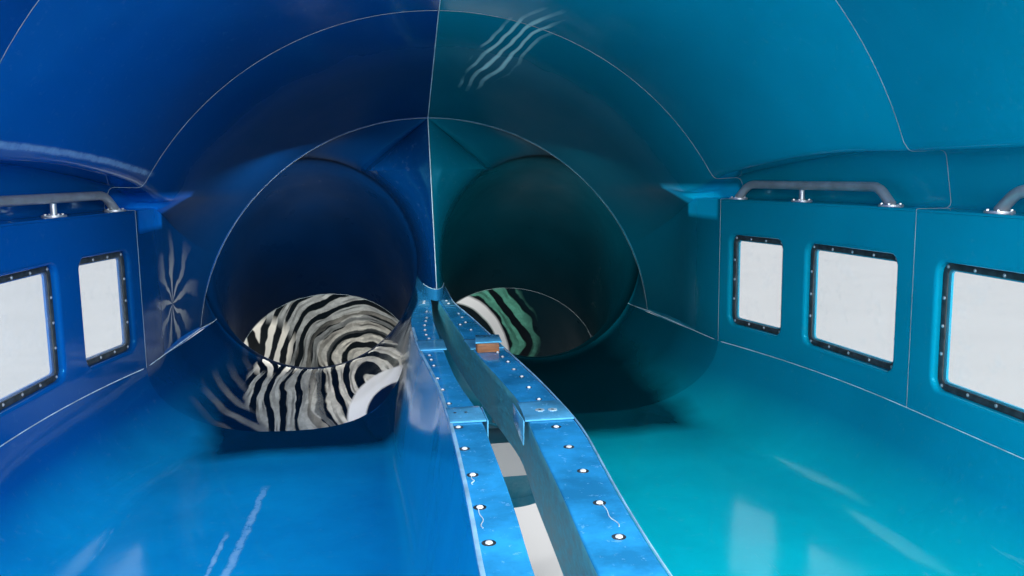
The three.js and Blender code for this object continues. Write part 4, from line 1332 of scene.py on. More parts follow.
class SLIDE_OT_tubs(bpy.types.Operator):
    """Make the tubs and channels, with their joint flanges"""

    bl_idname = "slide.tubs"
    bl_label = "Tubs"

    def execute(self, context):
        laminate = context.scene.slide_sizes.laminate
        lengths = {
            "tub_rear": spaced(REAR_END, TUB_JOINT - HALF_GAP, 20),
            "tub_front": spaced(TUB_JOINT + HALF_GAP, FUNNEL_JOINT - HALF_GAP, 24),
            "channel": spaced(FUNNEL_JOINT + HALF_GAP, MOUTH_JOINT - HALF_GAP, 24),
        }
        for side in SIDES:
            for part, places in lengths.items():
                bm = bmesh.new()
                skin(bm, side, lambda y: tub_line(side, y), places, laminate, tub_finish)
                for y, start in ((places[0], 0), (places[-1], -FLANGE_THICKNESS)):
                    rim_flange(bm, side, tub_outside(side, y), y + start)
                seam_flange(bm, side, places, SEAM_HEIGHT - FLANGE_THICKNESS)
                shell_piece(side, part, bm)
        return {"FINISHED"}


def pane_point(side, span, s, z, depth):
    """A point in the flat plane of a window."""
    start, end = Vector((half_width(span[0]), span[0])), Vector((half_width(span[1]), span[1]))
    chord = end - start
    outward = Vector((chord.y, -chord.x)).normalized()
    here = start + chord * ((s - span[0]) / (span[1] - span[0])) + outward * depth
    return placed(side, here.x, here.y, z)


def window_point(side, span, s, z, depth):
    """At the wall's face a window follows the wall, and it is flat from a little way in."""
    share = min(max(depth, 0) / FLAT_FROM, 1)
    share = share * share * (3 - 2 * share)
    return wall_point(side, s, z, depth).lerp(pane_point(side, span, s, z, depth), share)


CORNER_POINTS = 8


def window_outline(span, inset):
    """Points round a window's opening, moved in from it, back to the first point."""
    corner = max(WINDOW_CORNER - inset, LEAST_CORNER)
    s0, s1 = span[0] + inset + corner, span[1] - inset - corner
    z0, z1 = WINDOW_BOTTOM + inset + corner, WINDOW_TOP - inset - corner
    points = []
    for quarter, (s, z) in enumerate(((s1, z1), (s0, z1), (s0, z0), (s1, z0))):
        start = quarter * math.pi / 2
        points += arc(s, z, corner, corner, start, start + math.pi / 2, CORNER_POINTS)
    return points + points[:1]


def window_frame(bm, span, profile, place):
    """A closed frame round a window. The profile lists (inset, depth), and place puts (s, z, depth)."""
    before = set(bm.faces)
    outlines = [window_outline(span, inset) for inset, _ in profile]
    rows = len(profile)

    def point(column, row):
        return place(*outlines[row % rows][column], profile[row % rows][1])

    shaped_grid(bm, len(outlines[0]) - 1, rows, point)
    fresh = corners_of(face for face in bm.faces if face not in before)
    bmesh.ops.remove_doubles(bm, verts=list(fresh), dist=MERGE)
    faces = [face for face in bm.faces if face not in before]
    bmesh.ops.recalc_face_normals(bm, faces=faces)
    for face in faces:
        face.material_index = 0


def wall_panel(bm, side, y0, y1, windows, lip, thickness):
    """The wall's sheet with its window openings, bent to the wall's curve."""
    flat = bmesh.new()
    outlines = [[(y0, WALL_BOTTOM), (y1, WALL_BOTTOM), (y1, WALL_TOP), (y0, WALL_TOP)]]
    outlines += [window_outline(span, -lip)[:-1] for span in windows]
    edges = []
    for outline in outlines:
        verts = [flat.verts.new((s, z, 0)) for s, z in outline]
        edges += [flat.edges.new((verts[k - 1], verts[k])) for k in range(len(verts))]
    bmesh.ops.triangle_fill(flat, use_beauty=True, use_dissolve=False, edges=edges, normal=(0, 0, 1))
    for s in spaced(y0, y1, WALL_CUTS if y0 > TUB_JOINT else 1)[1:-1]:
        geometry = flat.verts[:] + flat.edges[:] + flat.faces[:]
        bmesh.ops.bisect_plane(flat, geom=geometry, plane_co=(s, 0, 0), plane_no=(1, 0, 0), dist=MERGE)
    for vert in flat.verts:
        vert.co = wall_point(side, vert.co.x, vert.co.y)
    flat.normal_update()
    outward = [face for face in flat.faces if face.normal.x * SIGN[side] > 0]
    bmesh.ops.reverse_faces(flat, faces=outward)
    thickened(flat, flat.faces[:], thickness)
    sheet = bpy.data.meshes.new("wall_sheet")
    flat.to_mesh(sheet)
    flat.free()
    bm.from_mesh(sheet)
    bpy.data.meshes.remove(sheet)


class SLIDE_OT_walls(bpy.types.Operator):
    """Make the window walls, with a rolled edge and a tray round each window"""

    bl_idname = "slide.walls"
    bl_label = "Walls"

    def execute(self, context):
        sizes = context.scene.slide_sizes
        lengths = {
            "wall_rear": (REAR_END, BAY_JOINT - HALF_GAP, REAR_WINDOWS),
            "wall_front": (BAY_JOINT + HALF_GAP, FUNNEL_JOINT - HALF_GAP, FRONT_WINDOWS),
        }
        lip = sizes.window_lip
        rolled = [(-lip * (1 - math.sin(a)), lip * (1 - math.cos(a))) for a in spaced(0, math.pi / 2, 6)]
        tray = [(0, PANE_BACK), (REBATE_WIDTH, PANE_BACK), (REBATE_WIDTH, TRAY_BACK), (-TRAY_WALL, TRAY_BACK)]
        profile = rolled + tray + [(-TRAY_WALL, TRAY_FOOT), (-lip, LIP_BACK)]
        for side in SIDES:
            for part, (y0, y1, windows) in lengths.items():
                bm = bmesh.new()
                wall_panel(bm, side, y0, y1, windows, lip, sizes.laminate)
                for span in windows:
                    window_frame(bm, span, profile, lambda s, z, d: window_point(side, span, s, z, d))
                places = spaced(y0, y1, 12)
                seam_flange(bm, side, places, WALL_BOTTOM)
                seam_flange(bm, side, places, WALL_TOP - FLANGE_THICKNESS)
                for y in (y0, y1 - FLANGE_THICKNESS):
                    inner, outer = (
                        [(half_width(y) + out, z) for z in (WALL_BOTTOM, WALL_TOP)]
                        for out in (SEAM_FLANGE_START, FLANGE_REACH)
                    )
                    joint_flange(bm, side, inner, outer, y)
                shell_piece(side, part, bm)
        return {"FINISHED"}


LEDGE_FLANGE_START = 0.001


def vault_flange_edge(y):
    """The outer edge of a vault's joint flange."""
    width = half_width(y)
    outer = width + NICHE_DEPTH + FLANGE_REACH
    return [
        (width + LEDGE_FLANGE_START, LEDGE_UNDERSIDE),
        (outer, LEDGE_UNDERSIDE),
        (outer, curved_along(LIP_HEIGHT, y) - HOOD_DROP),
        *vault_arc(y, HOOD_FLANGE_TOP, ARCH_STEPS, FLANGE_REACH),
    ]


def funnel_flange_edge(y):
    """The outer edge of the funnel's first flange."""
    outer = half_width(y) + FLANGE_REACH
    edge = vault_flange_edge(y)
    return [(outer, WALL_BOTTOM), (outer, LEDGE_UNDERSIDE)] + edge[1:]


class SLIDE_OT_vaults(bpy.types.Operator):
    """Make the vaults: ledge, niche, hood lip and arch, with their flanges"""

    bl_idname = "slide.vaults"
    bl_label = "Vaults"

    def execute(self, context):
        laminate = context.scene.slide_sizes.laminate
        lengths = {
            "vault_rear": spaced(REAR_END, BAY_JOINT - HALF_GAP, 10),
            "vault_front": spaced(BAY_JOINT + HALF_GAP, FUNNEL_JOINT - HALF_GAP, 20),
        }
        for side in SIDES:
            for part, places in lengths.items():
                bm = bmesh.new()
                skin(bm, side, vault_line, places, laminate)
                for y, start in ((places[0], 0), (places[-1], -FLANGE_THICKNESS)):
                    rim_flange(bm, side, vault_line(y), y + start, vault_flange_edge(y))
                crown_flange(bm, side, places)
                shell_piece(side, part, bm)
        return {"FINISHED"}


class SLIDE_OT_funnels(bpy.types.Operator):
    """Make the funnels, where the walls and the vault close towards the tubes"""

    bl_idname = "slide.funnels"
    bl_label = "Funnels"

    def execute(self, context):
        laminate = context.scene.slide_sizes.laminate
        places = spaced(FUNNEL_JOINT + HALF_GAP, NICHE_CLOSES, 6) + spaced(NICHE_CLOSES, NICHE_CLOSED, 8)[1:]
        places += spaced(NICHE_CLOSED, ARCH_JOINT - HALF_GAP, 14)[1:]
        for side in SIDES:
            bm = bmesh.new()
            skin(bm, side, funnel_line, places, laminate)
            start, end = places[0], places[-1]
            rim_flange(bm, side, funnel_line(start), start, funnel_flange_edge(start))
            rim_flange(bm, side, funnel_line(end), end - FLANGE_THICKNESS)
            seam_flange(bm, side, places, WALL_BOTTOM)
            crown_flange(bm, side, places)
            shell_piece(side, "funnel", bm)
        return {"FINISHED"}


SHEET_MERGE = 2e-5
WEB_BOTTOM = 0.5055
FILLET_REACH = 0.1
FILLET_ROUNDS = 16
FILLET_STRENGTH = 0.5


def web_sheet(bm, side):
    """The face of the web, with its upper heights where the mouth's places meet its edge."""
    crown = [ARCH_CROWN - (ARCH_CROWN - CROWN_EDGE[1]) * ease_out(t) for t in spaced(1, 0, MOUTH_PLACES)]
    heights = [WEB_BOTTOM, WEB_COLOUR_CHANGE] + spaced(0.6, CROWN_EDGE[1], 18)[:-1] + crown
    across = [1 - math.cos(a) for a in spaced(0, math.pi / 2, 20)]

    def place(column, row):
        x, y = web_point(heights[row], across[column])
        return placed(side, x, y, heights[row])

    return shaped_grid(bm, len(across) - 1, len(heights) - 1, place)[0]


def corners_of(faces):
    return {vert for face in faces for vert in face.verts}


def softened(bm, mouth_faces, web_faces):
    """Rounds the crease where the web's sheet runs into the mouth's sheet."""
    seam_points = [vert.co.copy() for vert in corners_of(mouth_faces) & corners_of(web_faces)]
    near = [
        vert for vert in bm.verts
        if not vert.is_boundary and min((vert.co - point).length for point in seam_points) < FILLET_REACH
    ]
    for _ in range(FILLET_ROUNDS):
        bmesh.ops.smooth_vert(
            bm, verts=near, factor=FILLET_STRENGTH, use_axis_x=True, use_axis_y=True, use_axis_z=True
        )


class SLIDE_OT_mouths(bpy.types.Operator):
    """Make the mouths and the rounded web between them"""

    bl_idname = "slide.mouths"
    bl_label = "Mouths"

    def execute(self, context):
        laminate = context.scene.slide_sizes.laminate
        places = spaced(ARCH_JOINT + HALF_GAP, MOUTH_JOINT - HALF_GAP, MOUTH_PLACES)
        for side in SIDES:
            bm = bmesh.new()
            section_sheet(bm, side, mouth_line, places)
            mouth_count = len(bm.faces)
            web_sheet(bm, side)
            bm.faces.ensure_lookup_table()
            bm.faces.index_update()
            for face in bm.faces:
                face.tag = face.index >= mouth_count
                low = face.calc_center_median().z < STAND_HEIGHT + WEB_COLOUR_CHANGE
                face.material_index = (TOP if low else WEB) if face.tag else INNER
            bmesh.ops.remove_doubles(bm, verts=bm.verts[:], dist=SHEET_MERGE)
            softened(bm, [face for face in bm.faces if not face.tag], [face for face in bm.faces if face.tag])
            shell(bm, side, bm.faces[:], laminate)
            for y in (places[0], places[-1] - FLANGE_THICKNESS):
                rim_flange(bm, side, mouth_line(y), y)
            shell_piece(side, "mouth", bm)
        return {"FINISHED"}


TUBE_SIDES = 96
BEND_STEPS = 28
TUBE_MAP = "tube"


def plunge_point(distance):
    """A point on a tube's centre line, at a distance from its mouth, as (y, z)."""
    angle = min(distance, BEND_LENGTH) / BEND_RADIUS
    tail = max(distance - BEND_LENGTH, 0)
    y = MOUTH_JOINT + BEND_RADIUS * math.sin(angle) + tail * math.cos(PLUNGE)
    z = BORE_HEIGHT - BEND_RADIUS * (1 - math.cos(angle)) - tail * math.sin(PLUNGE)
    return y, z


def plunge_axis(distance):
    angle = min(distance, BEND_LENGTH) / BEND_RADIUS
    return Vector((0, math.cos(angle), -math.sin(angle)))


def bore_centre(side, distance):
    return placed(side, LANE_CENTRE, *plunge_point(distance))


def ring_matrix(side, distance):
    """Where a tube's round section lies, and how it is turned."""
    turn = plunge_axis(distance).to_track_quat("Z", "Y").to_matrix().to_4x4()
    turn.translation = bore_centre(side, distance)
    return turn


def circle(bm, radius, turn):
    """A bare circle: its vertices and its edges."""
    verts = bmesh.ops.create_circle(bm, segments=TUBE_SIDES, radius=radius, matrix=turn)["verts"]
    return verts, list({edge for vert in verts for edge in vert.link_edges})


def tube_ring(bm, side, distance):
    """A round flange, from the bore's wall outwards."""
    turn = ring_matrix(side, distance)
    verts, edges = circle(bm, BORE_RADIUS + FLANGE_START, turn)
    for found, made in zip((verts, edges), circle(bm, BORE_RADIUS + FLANGE_REACH, turn)):
        found += made
    faces = bmesh.ops.bridge_loops(bm, edges=edges)["faces"]
    made = bmesh.ops.extrude_face_region(bm, geom=faces)["geom"]
    top = of_kind(made, bmesh.types.BMVert)
    bmesh.ops.translate(bm, verts=top, vec=plunge_axis(distance) * FLANGE_THICKNESS)
    linked = faces_round(verts + top)
    bmesh.ops.recalc_face_normals(bm, faces=linked)
    for face in linked:
        face.material_index = OUTER
    for vert in verts + top:
        if vert.co.x * SIGN[side] < HALF_GAP:
            vert.co.x = SIGN[side] * HALF_GAP


DROP_STEPS = 6


def bore_wall(bm, side, start, end):
    """The tube's wall: its circle spun round the bend, then drawn out straight."""
    verts, front = circle(bm, BORE_RADIUS, ring_matrix(side, start))
    if start < BEND_LENGTH:
        middle = placed(side, LANE_CENTRE, MOUTH_JOINT, BORE_HEIGHT - BEND_RADIUS)
        made = bmesh.ops.spin(
            bm, geom=verts + front, cent=middle, axis=(1, 0, 0), steps=BEND_STEPS,
            angle=-(BEND_LENGTH - start) / BEND_RADIUS, use_duplicate=False,
        )["geom_last"]
        front = of_kind(made, bmesh.types.BMEdge)
        start = BEND_LENGTH
    for _ in range(DROP_STEPS):
        made = bmesh.ops.extrude_edge_only(bm, edges=front)["geom"]
        verts = of_kind(made, bmesh.types.BMVert)
        front = [edge for edge in of_kind(made, bmesh.types.BMEdge) if set(verts).issuperset(edge.verts)]
        bmesh.ops.translate(bm, verts=verts, vec=plunge_axis(end) * (end - start) / DROP_STEPS)
    return bm.faces[:]


def along_tube(point):
    """How far along the tube a point of the frame lies."""
    y, z = point.y - REAR - MOUTH_JOINT, point.z - STAND_HEIGHT - BORE_HEIGHT + BEND_RADIUS
    angle = min(math.atan2(y, z), PLUNGE)
    if angle < PLUNGE:
        return BEND_RADIUS * angle
    tail_y, tail_z = y - BEND_RADIUS * math.sin(PLUNGE), z - BEND_RADIUS * math.cos(PLUNGE)
    return BEND_LENGTH + max(tail_y * math.cos(PLUNGE) - tail_z * math.sin(PLUNGE), 0)


def face_inwards(side, faces):
    """Turns the faces of a bore towards its centre line."""
    for face in faces:
        face.normal_update()
        middle = face.calc_center_median()
        centre = bore_centre(side, along_tube(middle))
        if face.normal.dot(centre - middle) < 0:
            face.normal_flip()


NEARLY_HALF_ROUND = 0.49


def tube_map(bm, side):
    """A map of the tube's wall: turns round it, from its lowest line, and metres along it."""
    layer = bm.loops.layers.uv.new(TUBE_MAP)
    for face in bm.faces:
        middle = face.calc_center_median()
        across = middle.x - bore_centre(side, along_tube(middle)).x
        for loop in face.loops:
            point = loop.vert.co
            distance = along_tube(point)
            centre = bore_centre(side, distance)
            down = (point - centre).dot(plunge_axis(distance).cross(Vector((1, 0, 0))))
            turn = math.atan2(point.x - centre.x, down) / (2 * math.pi)
            if abs(turn) > NEARLY_HALF_ROUND:
                turn = math.copysign(turn, across)
            loop[layer].uv = (turn, distance)


class SLIDE_OT_tubes(bpy.types.Operator):
    """Make the bends and drops of the tubes, with their round flanges"""

    bl_idname = "slide.tubes"
    bl_label = "Tubes"

    def execute(self, context):
        laminate = context.scene.slide_sizes.laminate
        lengths = {
            "tube_bend": (HALF_GAP, RING_PLACE - HALF_GAP),
            "tube_drop": (RING_PLACE + HALF_GAP, END_PLACE),
        }
        for side in SIDES:
            for part, (start, end) in lengths.items():
                bm = bmesh.new()
                faces = bore_wall(bm, side, start, end)
                face_inwards(side, faces)
                for face in faces:
                    face.material_index = LINING
                thickened(bm, faces, laminate)
                tube_ring(bm, side, start)
                tube_ring(bm, side, end - FLANGE_THICKNESS)
                tube_map(bm, side)
                shell_piece(side, part, bm)
        return {"FINISHED"}


# Sealant in the seams, on the inner faces
RING_BEAD = 0.65
FUNNEL_SHORT = 0.001


def tube_seam(side):
    """The ring where a tube's bend meets its drop."""
    turn = ring_matrix(side, RING_PLACE)
    return [turn @ round_place(BORE_RADIUS, angle) for angle in spaced(0, 2 * math.pi, TUBE_SIDES)]


class SLIDE_OT_seams(bpy.types.Operator):
    """Make the sealant beads in the seams"""

    bl_idname = "slide.seams"
    bl_label = "Seams"

    def execute(self, context):
        bead = context.scene.slide_sizes.bead
        for side in SIDES:
            paths = [section_points(side, vault_line(y), y) for y in (BAY_JOINT, FUNNEL_JOINT)]
            paths.append(section_points(side, funnel_line(ARCH_JOINT - FUNNEL_SHORT), ARCH_JOINT))
            for y in (BAY_JOINT, FUNNEL_JOINT):
                paths.append([wall_point(side, y, z) for z in (WALL_BOTTOM, WALL_TOP)])
            paths.append(tube_seam(side))
            piped(f"{side}_ring_sealant", paths, bead * RING_BEAD, ["ring_sealant"])
            long_seam = [wall_point(side, y, SEAM_HEIGHT) for y in spaced(REAR_END, MOUTH_JOINT, 48)]
            piped(f"{side}_seam_sealant", [long_seam], bead, ["seam_sealant"])
        crown = [placed("left", 0, y, crown_height(y)) for y in spaced(REAR_END, ARCH_JOINT, 24)]
        nose = [placed("left", 0, web_nose(z), z) for z in spaced(ARCH_CROWN, WEB_COLOUR_CHANGE, 12)]
        shares = [1 - math.cos(angle) for angle in spaced(0, 0.9, 8)]
        across = [
            [placed(side, *web_point(WEB_COLOUR_CHANGE, share), WEB_COLOUR_CHANGE) for share in shares]
            for side in SIDES
        ]
        piped("crown_sealant", [crown, nose, *across], bead, ["seam_sealant"])
        return {"FINISHED"}


SCREW_INSET = 0.015
SCREW_CORNER = 0.012
SCREW_PITCH = 0.135
SCREWS_UP = 4
GASKET_FACE = PANE_FRONT - 0.0062
GASKET = [
    (0.0008, PANE_FRONT - 0.0005), (0.0008, PANE_FRONT - 0.005), (0.003, GASKET_FACE),
    (0.0205, GASKET_FACE), (0.0235, PANE_FRONT - 0.004), (0.0235, PANE_FRONT - 0.0005),
]


def screw_spots(span):
    """Where the screws round a window sit, as (s, z)."""
    s0, s1 = span[0] + SCREW_INSET, span[1] - SCREW_INSET
    z0, z1 = WINDOW_BOTTOM + SCREW_INSET, WINDOW_TOP - SCREW_INSET
    across = max(round((s1 - s0) / SCREW_PITCH), 2)
    level = [(s, z) for s in spaced(s0 + SCREW_CORNER, s1 - SCREW_CORNER, across) for z in (z0, z1)]
    heights = spaced(z0 + SCREW_CORNER, z1 - SCREW_CORNER, SCREWS_UP)[1:-1]
    return level + [(s, z) for s in (s0, s1) for z in heights]


class SLIDE_OT_windows(bpy.types.Operator):
    """Make the gasket and the screws of each window, and finish its pane"""

    bl_idname = "slide.windows"
    bl_label = "Windows"

    def execute(self, context):
        radius = context.scene.slide_sizes.window_screw
        rim = radius * 0.22
        for side in SIDES:
            gaskets, screws = bmesh.new(), bmesh.new()
            for number, span in enumerate(REAR_WINDOWS + FRONT_WINDOWS, 1):
                window_frame(gaskets, span, GASKET, lambda s, z, d: pane_point(side, span, s, z, d))
                inward = (pane_point(side, span, *span, 0) - pane_point(side, span, *span, 1)).normalized()
                for s, z in screw_spots(span):
                    at = pane_point(side, span, s, z, GASKET_FACE)
                    cylinder(screws, at, inward, radius, rim, 12)
                    cylinder(screws, at + inward * rim, inward, radius * 0.8, radius * 0.4, 12, radius * 0.45)
                refinish(f"{side}_window_{number}", "clear_acrylic")
            mesh_object(f"{side}_window_gaskets", gaskets, ["gasket_rubber"])
            mesh_object(f"{side}_window_screws", screws, ["stainless_steel"])
        return {"FINISHED"}


BAR_FOOT = 0.007
FOOT_PLATE = (0.045, 0.0065)
FOOT_PLATE_TOP = 0.0435
FOOT_BOLT_PLACE = 0.033
FOOT_BOLT = 0.0055
MIDDLE_POST_SHIFT = 0.06
POST_START = 0.006
POST_OVERLAP = 0.008
POST_SHARE = 0.62


def bar_path(side, start, end):
    """A grab bar's centre line: up from its foot, along the ledge and down again."""
    foot = LEDGE_HEIGHT + BAR_FOOT
    top = LEDGE_HEIGHT + BAR_RISE - BAR_RADIUS
    corner = [(start, foot), (start + BAR_LEAN, top), (end - BAR_LEAN, top), (end, foot)]
    line = rounded_line(corner, [BAR_BEND, BAR_BEND], 10)
    return [wall_point(side, y, z, BAR_OFFSET) for _, y, z in line]


def bar_foot(bm, at):
    """A round foot plate with four bolts."""
    radius, thickness = FOOT_PLATE
    cylinder(bm, at, UP, radius, thickness, 32, FOOT_PLATE_TOP)
    for turn in range(4):
        spot = round_place(FOOT_BOLT_PLACE, math.pi / 4 + turn * math.pi / 2, thickness)
        hex_head(bm, at + spot, UP, FOOT_BOLT, False)


class SLIDE_OT_grab_bars(bpy.types.Operator):
    """Make the grab bars with their feet, middle posts and foot bolts"""

    bl_idname = "slide.grab_bars"
    bl_label = "Grab bars"

    def execute(self, context):
        radius = context.scene.slide_sizes.bar_radius
        for side in SIDES:
            for place, (start, end) in GRAB_BARS.items():
                name = f"{side}_grab_bar_{place}"
                path = bar_path(side, start, end)
                piped(f"{name}_pipe", [path], radius, ["stainless_steel"], [name], 5)
                fittings = bmesh.new()
                middle = (start + end) / 2 + MIDDLE_POST_SHIFT
                for y in (start, middle, end):
                    at = wall_point(side, y, LEDGE_HEIGHT, BAR_OFFSET)
                    bar_foot(fittings, at + UP * TOUCH)
                    if y == middle:
                        post = at + UP * POST_START
                cylinder(fittings, post, UP, radius * POST_SHARE, BAR_RISE - 2 * radius + POST_OVERLAP, 20)
                mesh_object(f"{name}_fittings", fittings, ["stainless_steel"])
        return {"FINISHED"}


# Divider: recessed bolts, joint plates and what lies on the flanges, as (x, y) or spans of y
DIVIDER_BOLTS = {
    "left": [
        (0.131, 0.53), (0.13, 0.72), (0.128, 0.91), (0.126, 1.105), (0.122, 1.279), (0.115, 1.473),
        (0.114, 1.664), (0.112, 1.85), (0.117, 2.095), (0.123, 2.264), (0.128, 2.418), (0.127, 2.614),
        (0.13, 2.716), (0.131, 2.796), (0.112, 3.13), (0.119, 3.216), (0.117, 3.33), (0.112, 3.45),
        (0.1, 3.56), (0.091, 3.651), (0.08, 3.83),
    ],
    "right": [
        (0.118, 0.54), (0.118, 0.72), (0.12, 0.9), (0.122, 1.085), (0.129, 1.255), (0.141, 1.449),
        (0.148, 1.626), (0.152, 1.8), (0.159, 2.087), (0.155, 2.237), (0.157, 2.385), (0.148, 2.497),
        (0.146, 2.62), (0.139, 2.709), (0.132, 2.793), (0.096, 3.13), (0.084, 3.288), (0.05, 3.431),
        (0.08, 3.483), (0.078, 3.62), (0.072, 3.732),
    ],
}
FAR_BOLTS = 2.05
FAR_BOLT_SHARE = 0.72
JOINT_PLATES = {"left": [(1.885, 2.035), (2.88, 3.08)], "right": [(1.86, 2.05), (2.86, 3.06)]}
END_PLATES = {"left": (4.03, 4.19), "right": (3.97, 4.19)}
END_BOLTS = (0.3, 0.75)
PLATE_HOLES = {"left": [(0.078, 1.97), (0.11, 1.97)], "right": [(0.136, 1.952), (0.173, 1.948)]}
ON_FLANGE = 0.0006
HEAD_START = 0.0005
HEAD_RISE = 0.0045
END_HEAD_RISE = 0.005
PLATE_LIFT = 0.0008
PLATE_EDGE = 0.0012
JOINT_PLATE = 0.005
JOINT_PLATE_INSETS = (-0.01, 0.004)
END_PLATE = 0.006
END_PLATE_INSETS = (0.012, 0.012)
PLATE_WASHER = (0.0135, 0.0015)
PLATE_HOLE = (0.0045, 0.0008)
PLATE_HOLE_START = 0.0013

# Flap of the first joint plate in the gap: which end of the plate, shift along it and height
FLAP_CORNERS = [(0, 0.0, 0.004), (1, 0.0, 0.004), (1, -0.02, -0.05), (0, 0.01, -0.07)]
FLAP_INSET = 0.012
FLAP = 0.004

TIMBER_CORNERS = [(0.055, 2.8), (0.14, 2.8), (0.14, 2.86), (0.055, 2.86)]
TIMBER_HEIGHT = 0.034
TIMBER_EDGE = 0.0015
COVER_CORNERS = [(0.049, 2.808), (0.152, 2.812), (0.16, 2.95), (0.065, 2.96)]
COVER = 0.006
COVER_START = TIMBER_HEIGHT + 0.001

# The raised pale strip on the left flange's lane edge and the pale bead on the right one are painted
# highlight on the flanges' rounded edges
RAISED_EDGE = (0.01, 0.003)
RAISED_START = 0.0002
RAISED_END = FUNNEL_JOINT - 0.2
RAISED_ROUNDING = 0.001
EDGE_TUCK = 0.0005
EDGE_BEAD_END = MOUTH_JOINT - 0.02
DRIPS = {"left": [(1.279, 0.095), (1.473, 0.05)], "right": [(1.255, 0.115)]}
DRIP_START = (0.004, -0.01)
DRIP_SWING = 0.006
DRIP_WAVES = 9
DRIP_RADIUS = 0.0011


def divider_edges(side, y):
    """The gap edge and the lane edge of a divider flange."""
    return curved_along(DIVIDER_INNER[side], y), tub_line(side, y)[TOP_COLUMNS][0]


def flange_plate(bm, side, insets, start, end, base, height, steps=6, edges=(0, 1)):
    """A flat plate on a divider flange, set in from its gap edge (0) and its lane edge (1)."""
    places = [(y, divider_edges(side, y)) for y in spaced(start, end, steps)]
    near = [placed(side, found[edges[0]] + insets[0], y, base) for y, found in places]
    far = [placed(side, found[edges[1]] - insets[1], y, base) for y, found in places]
    plate(bm, [*near, *reversed(far)], (0, 0, height), 0)


def rounded_edges(bm, width):
    """Rounds a piece's sharp edges."""
    edges = [edge for edge in bm.edges if len(edge.link_faces) == 2 and edge.calc_face_angle() > 1]
    bmesh.ops.bevel(bm, geom=edges, offset=width, segments=2, profile=0.5, affect="EDGES", material=-1)


def dome(bm, at, radius, height):
    """A low round head: the upper half of a sphere, pressed flat."""
    squash = Matrix.Translation(at) @ Matrix.Diagonal((1, 1, height / radius, 1))
    verts = bmesh.ops.create_uvsphere(bm, u_segments=12, v_segments=6, radius=radius, matrix=squash)["verts"]
    faces = faces_round(verts)
    geometry = verts + list({edge for face in faces for edge in face.edges}) + faces
    bmesh.ops.bisect_plane(bm, geom=geometry, plane_co=at, plane_no=(0, 0, 1), dist=MERGE, clear_inner=True)


def on_right_flange(name, corners, base, height, rounding, material):
    """A flat piece that lies on the right flange."""
    bm = bmesh.new()
    plate(bm, [placed("right", x, y, DIVIDER_HEIGHT + base) for x, y in corners], (0, 0, height), 0)
    rounded_edges(bm, rounding)
    mesh_object(name, bm, [material])


def drip(side, y, length):
    """A thin run of resin from a bolt towards the entry."""
    x = next(across for across, place in DIVIDER_BOLTS[side] if place == y) + DRIP_START[0]
    return [
        placed(
            side,
            x + DRIP_SWING * math.sin(t * DRIP_WAVES) * t,
            y + DRIP_START[1] - length * t,
            DIVIDER_HEIGHT + ON_FLANGE,
        )
        for t in spaced(0, 1, 12)
    ]


def divider_fasteners(side, sizes, recesses, heads, washers):
    """The bolts in their recessed holes, the joint plate's holes and the end plate's bolts."""
    for x, y in DIVIDER_BOLTS[side]:
        share = FAR_BOLT_SHARE if y > FAR_BOLTS else 1
        at = placed(side, x, y, DIVIDER_HEIGHT)
        cylinder(recesses, at, UP, sizes.divider_hole * share, ON_FLANGE, 20)
        dome(heads, at + UP * HEAD_START, sizes.divider_bolt * share, HEAD_RISE)
    for x, y in PLATE_HOLES[side]:
        at = placed(side, x, y, DIVIDER_HEIGHT + PLATE_LIFT + JOINT_PLATE)
        if side == "right":
            cylinder(washers, at, UP, *PLATE_WASHER, 24)
        cylinder(recesses, at + UP * PLATE_HOLE_START, UP, *PLATE_HOLE, 12)
    for share in END_BOLTS:
        y = lerp(*END_PLATES[side], share)
        middle = sum(divider_edges(side, y)) / 2
        dome(heads, placed(side, middle, y, DIVIDER_HEIGHT + END_PLATE), sizes.divider_bolt, END_HEAD_RISE)


def divider_plates(bm, side):
    """The plates over the joints, the plate at the far end and the flap in the gap."""
    base = DIVIDER_HEIGHT + PLATE_LIFT
    for span in JOINT_PLATES[side]:
        flange_plate(bm, side, JOINT_PLATE_INSETS, *span, base, JOINT_PLATE)
    flange_plate(bm, side, END_PLATE_INSETS, *END_PLATES[side], base, END_PLATE)
    ends = JOINT_PLATES[side][0]
    x = divider_edges(side, ends[0])[0] - FLAP_INSET
    flap = [placed(side, x, ends[end] + shift, DIVIDER_HEIGHT + z) for end, shift, z in FLAP_CORNERS]
    plate(bm, flap, (-SIGN[side] * FLAP, 0, 0), 0)
    rounded_edges(bm, PLATE_EDGE)


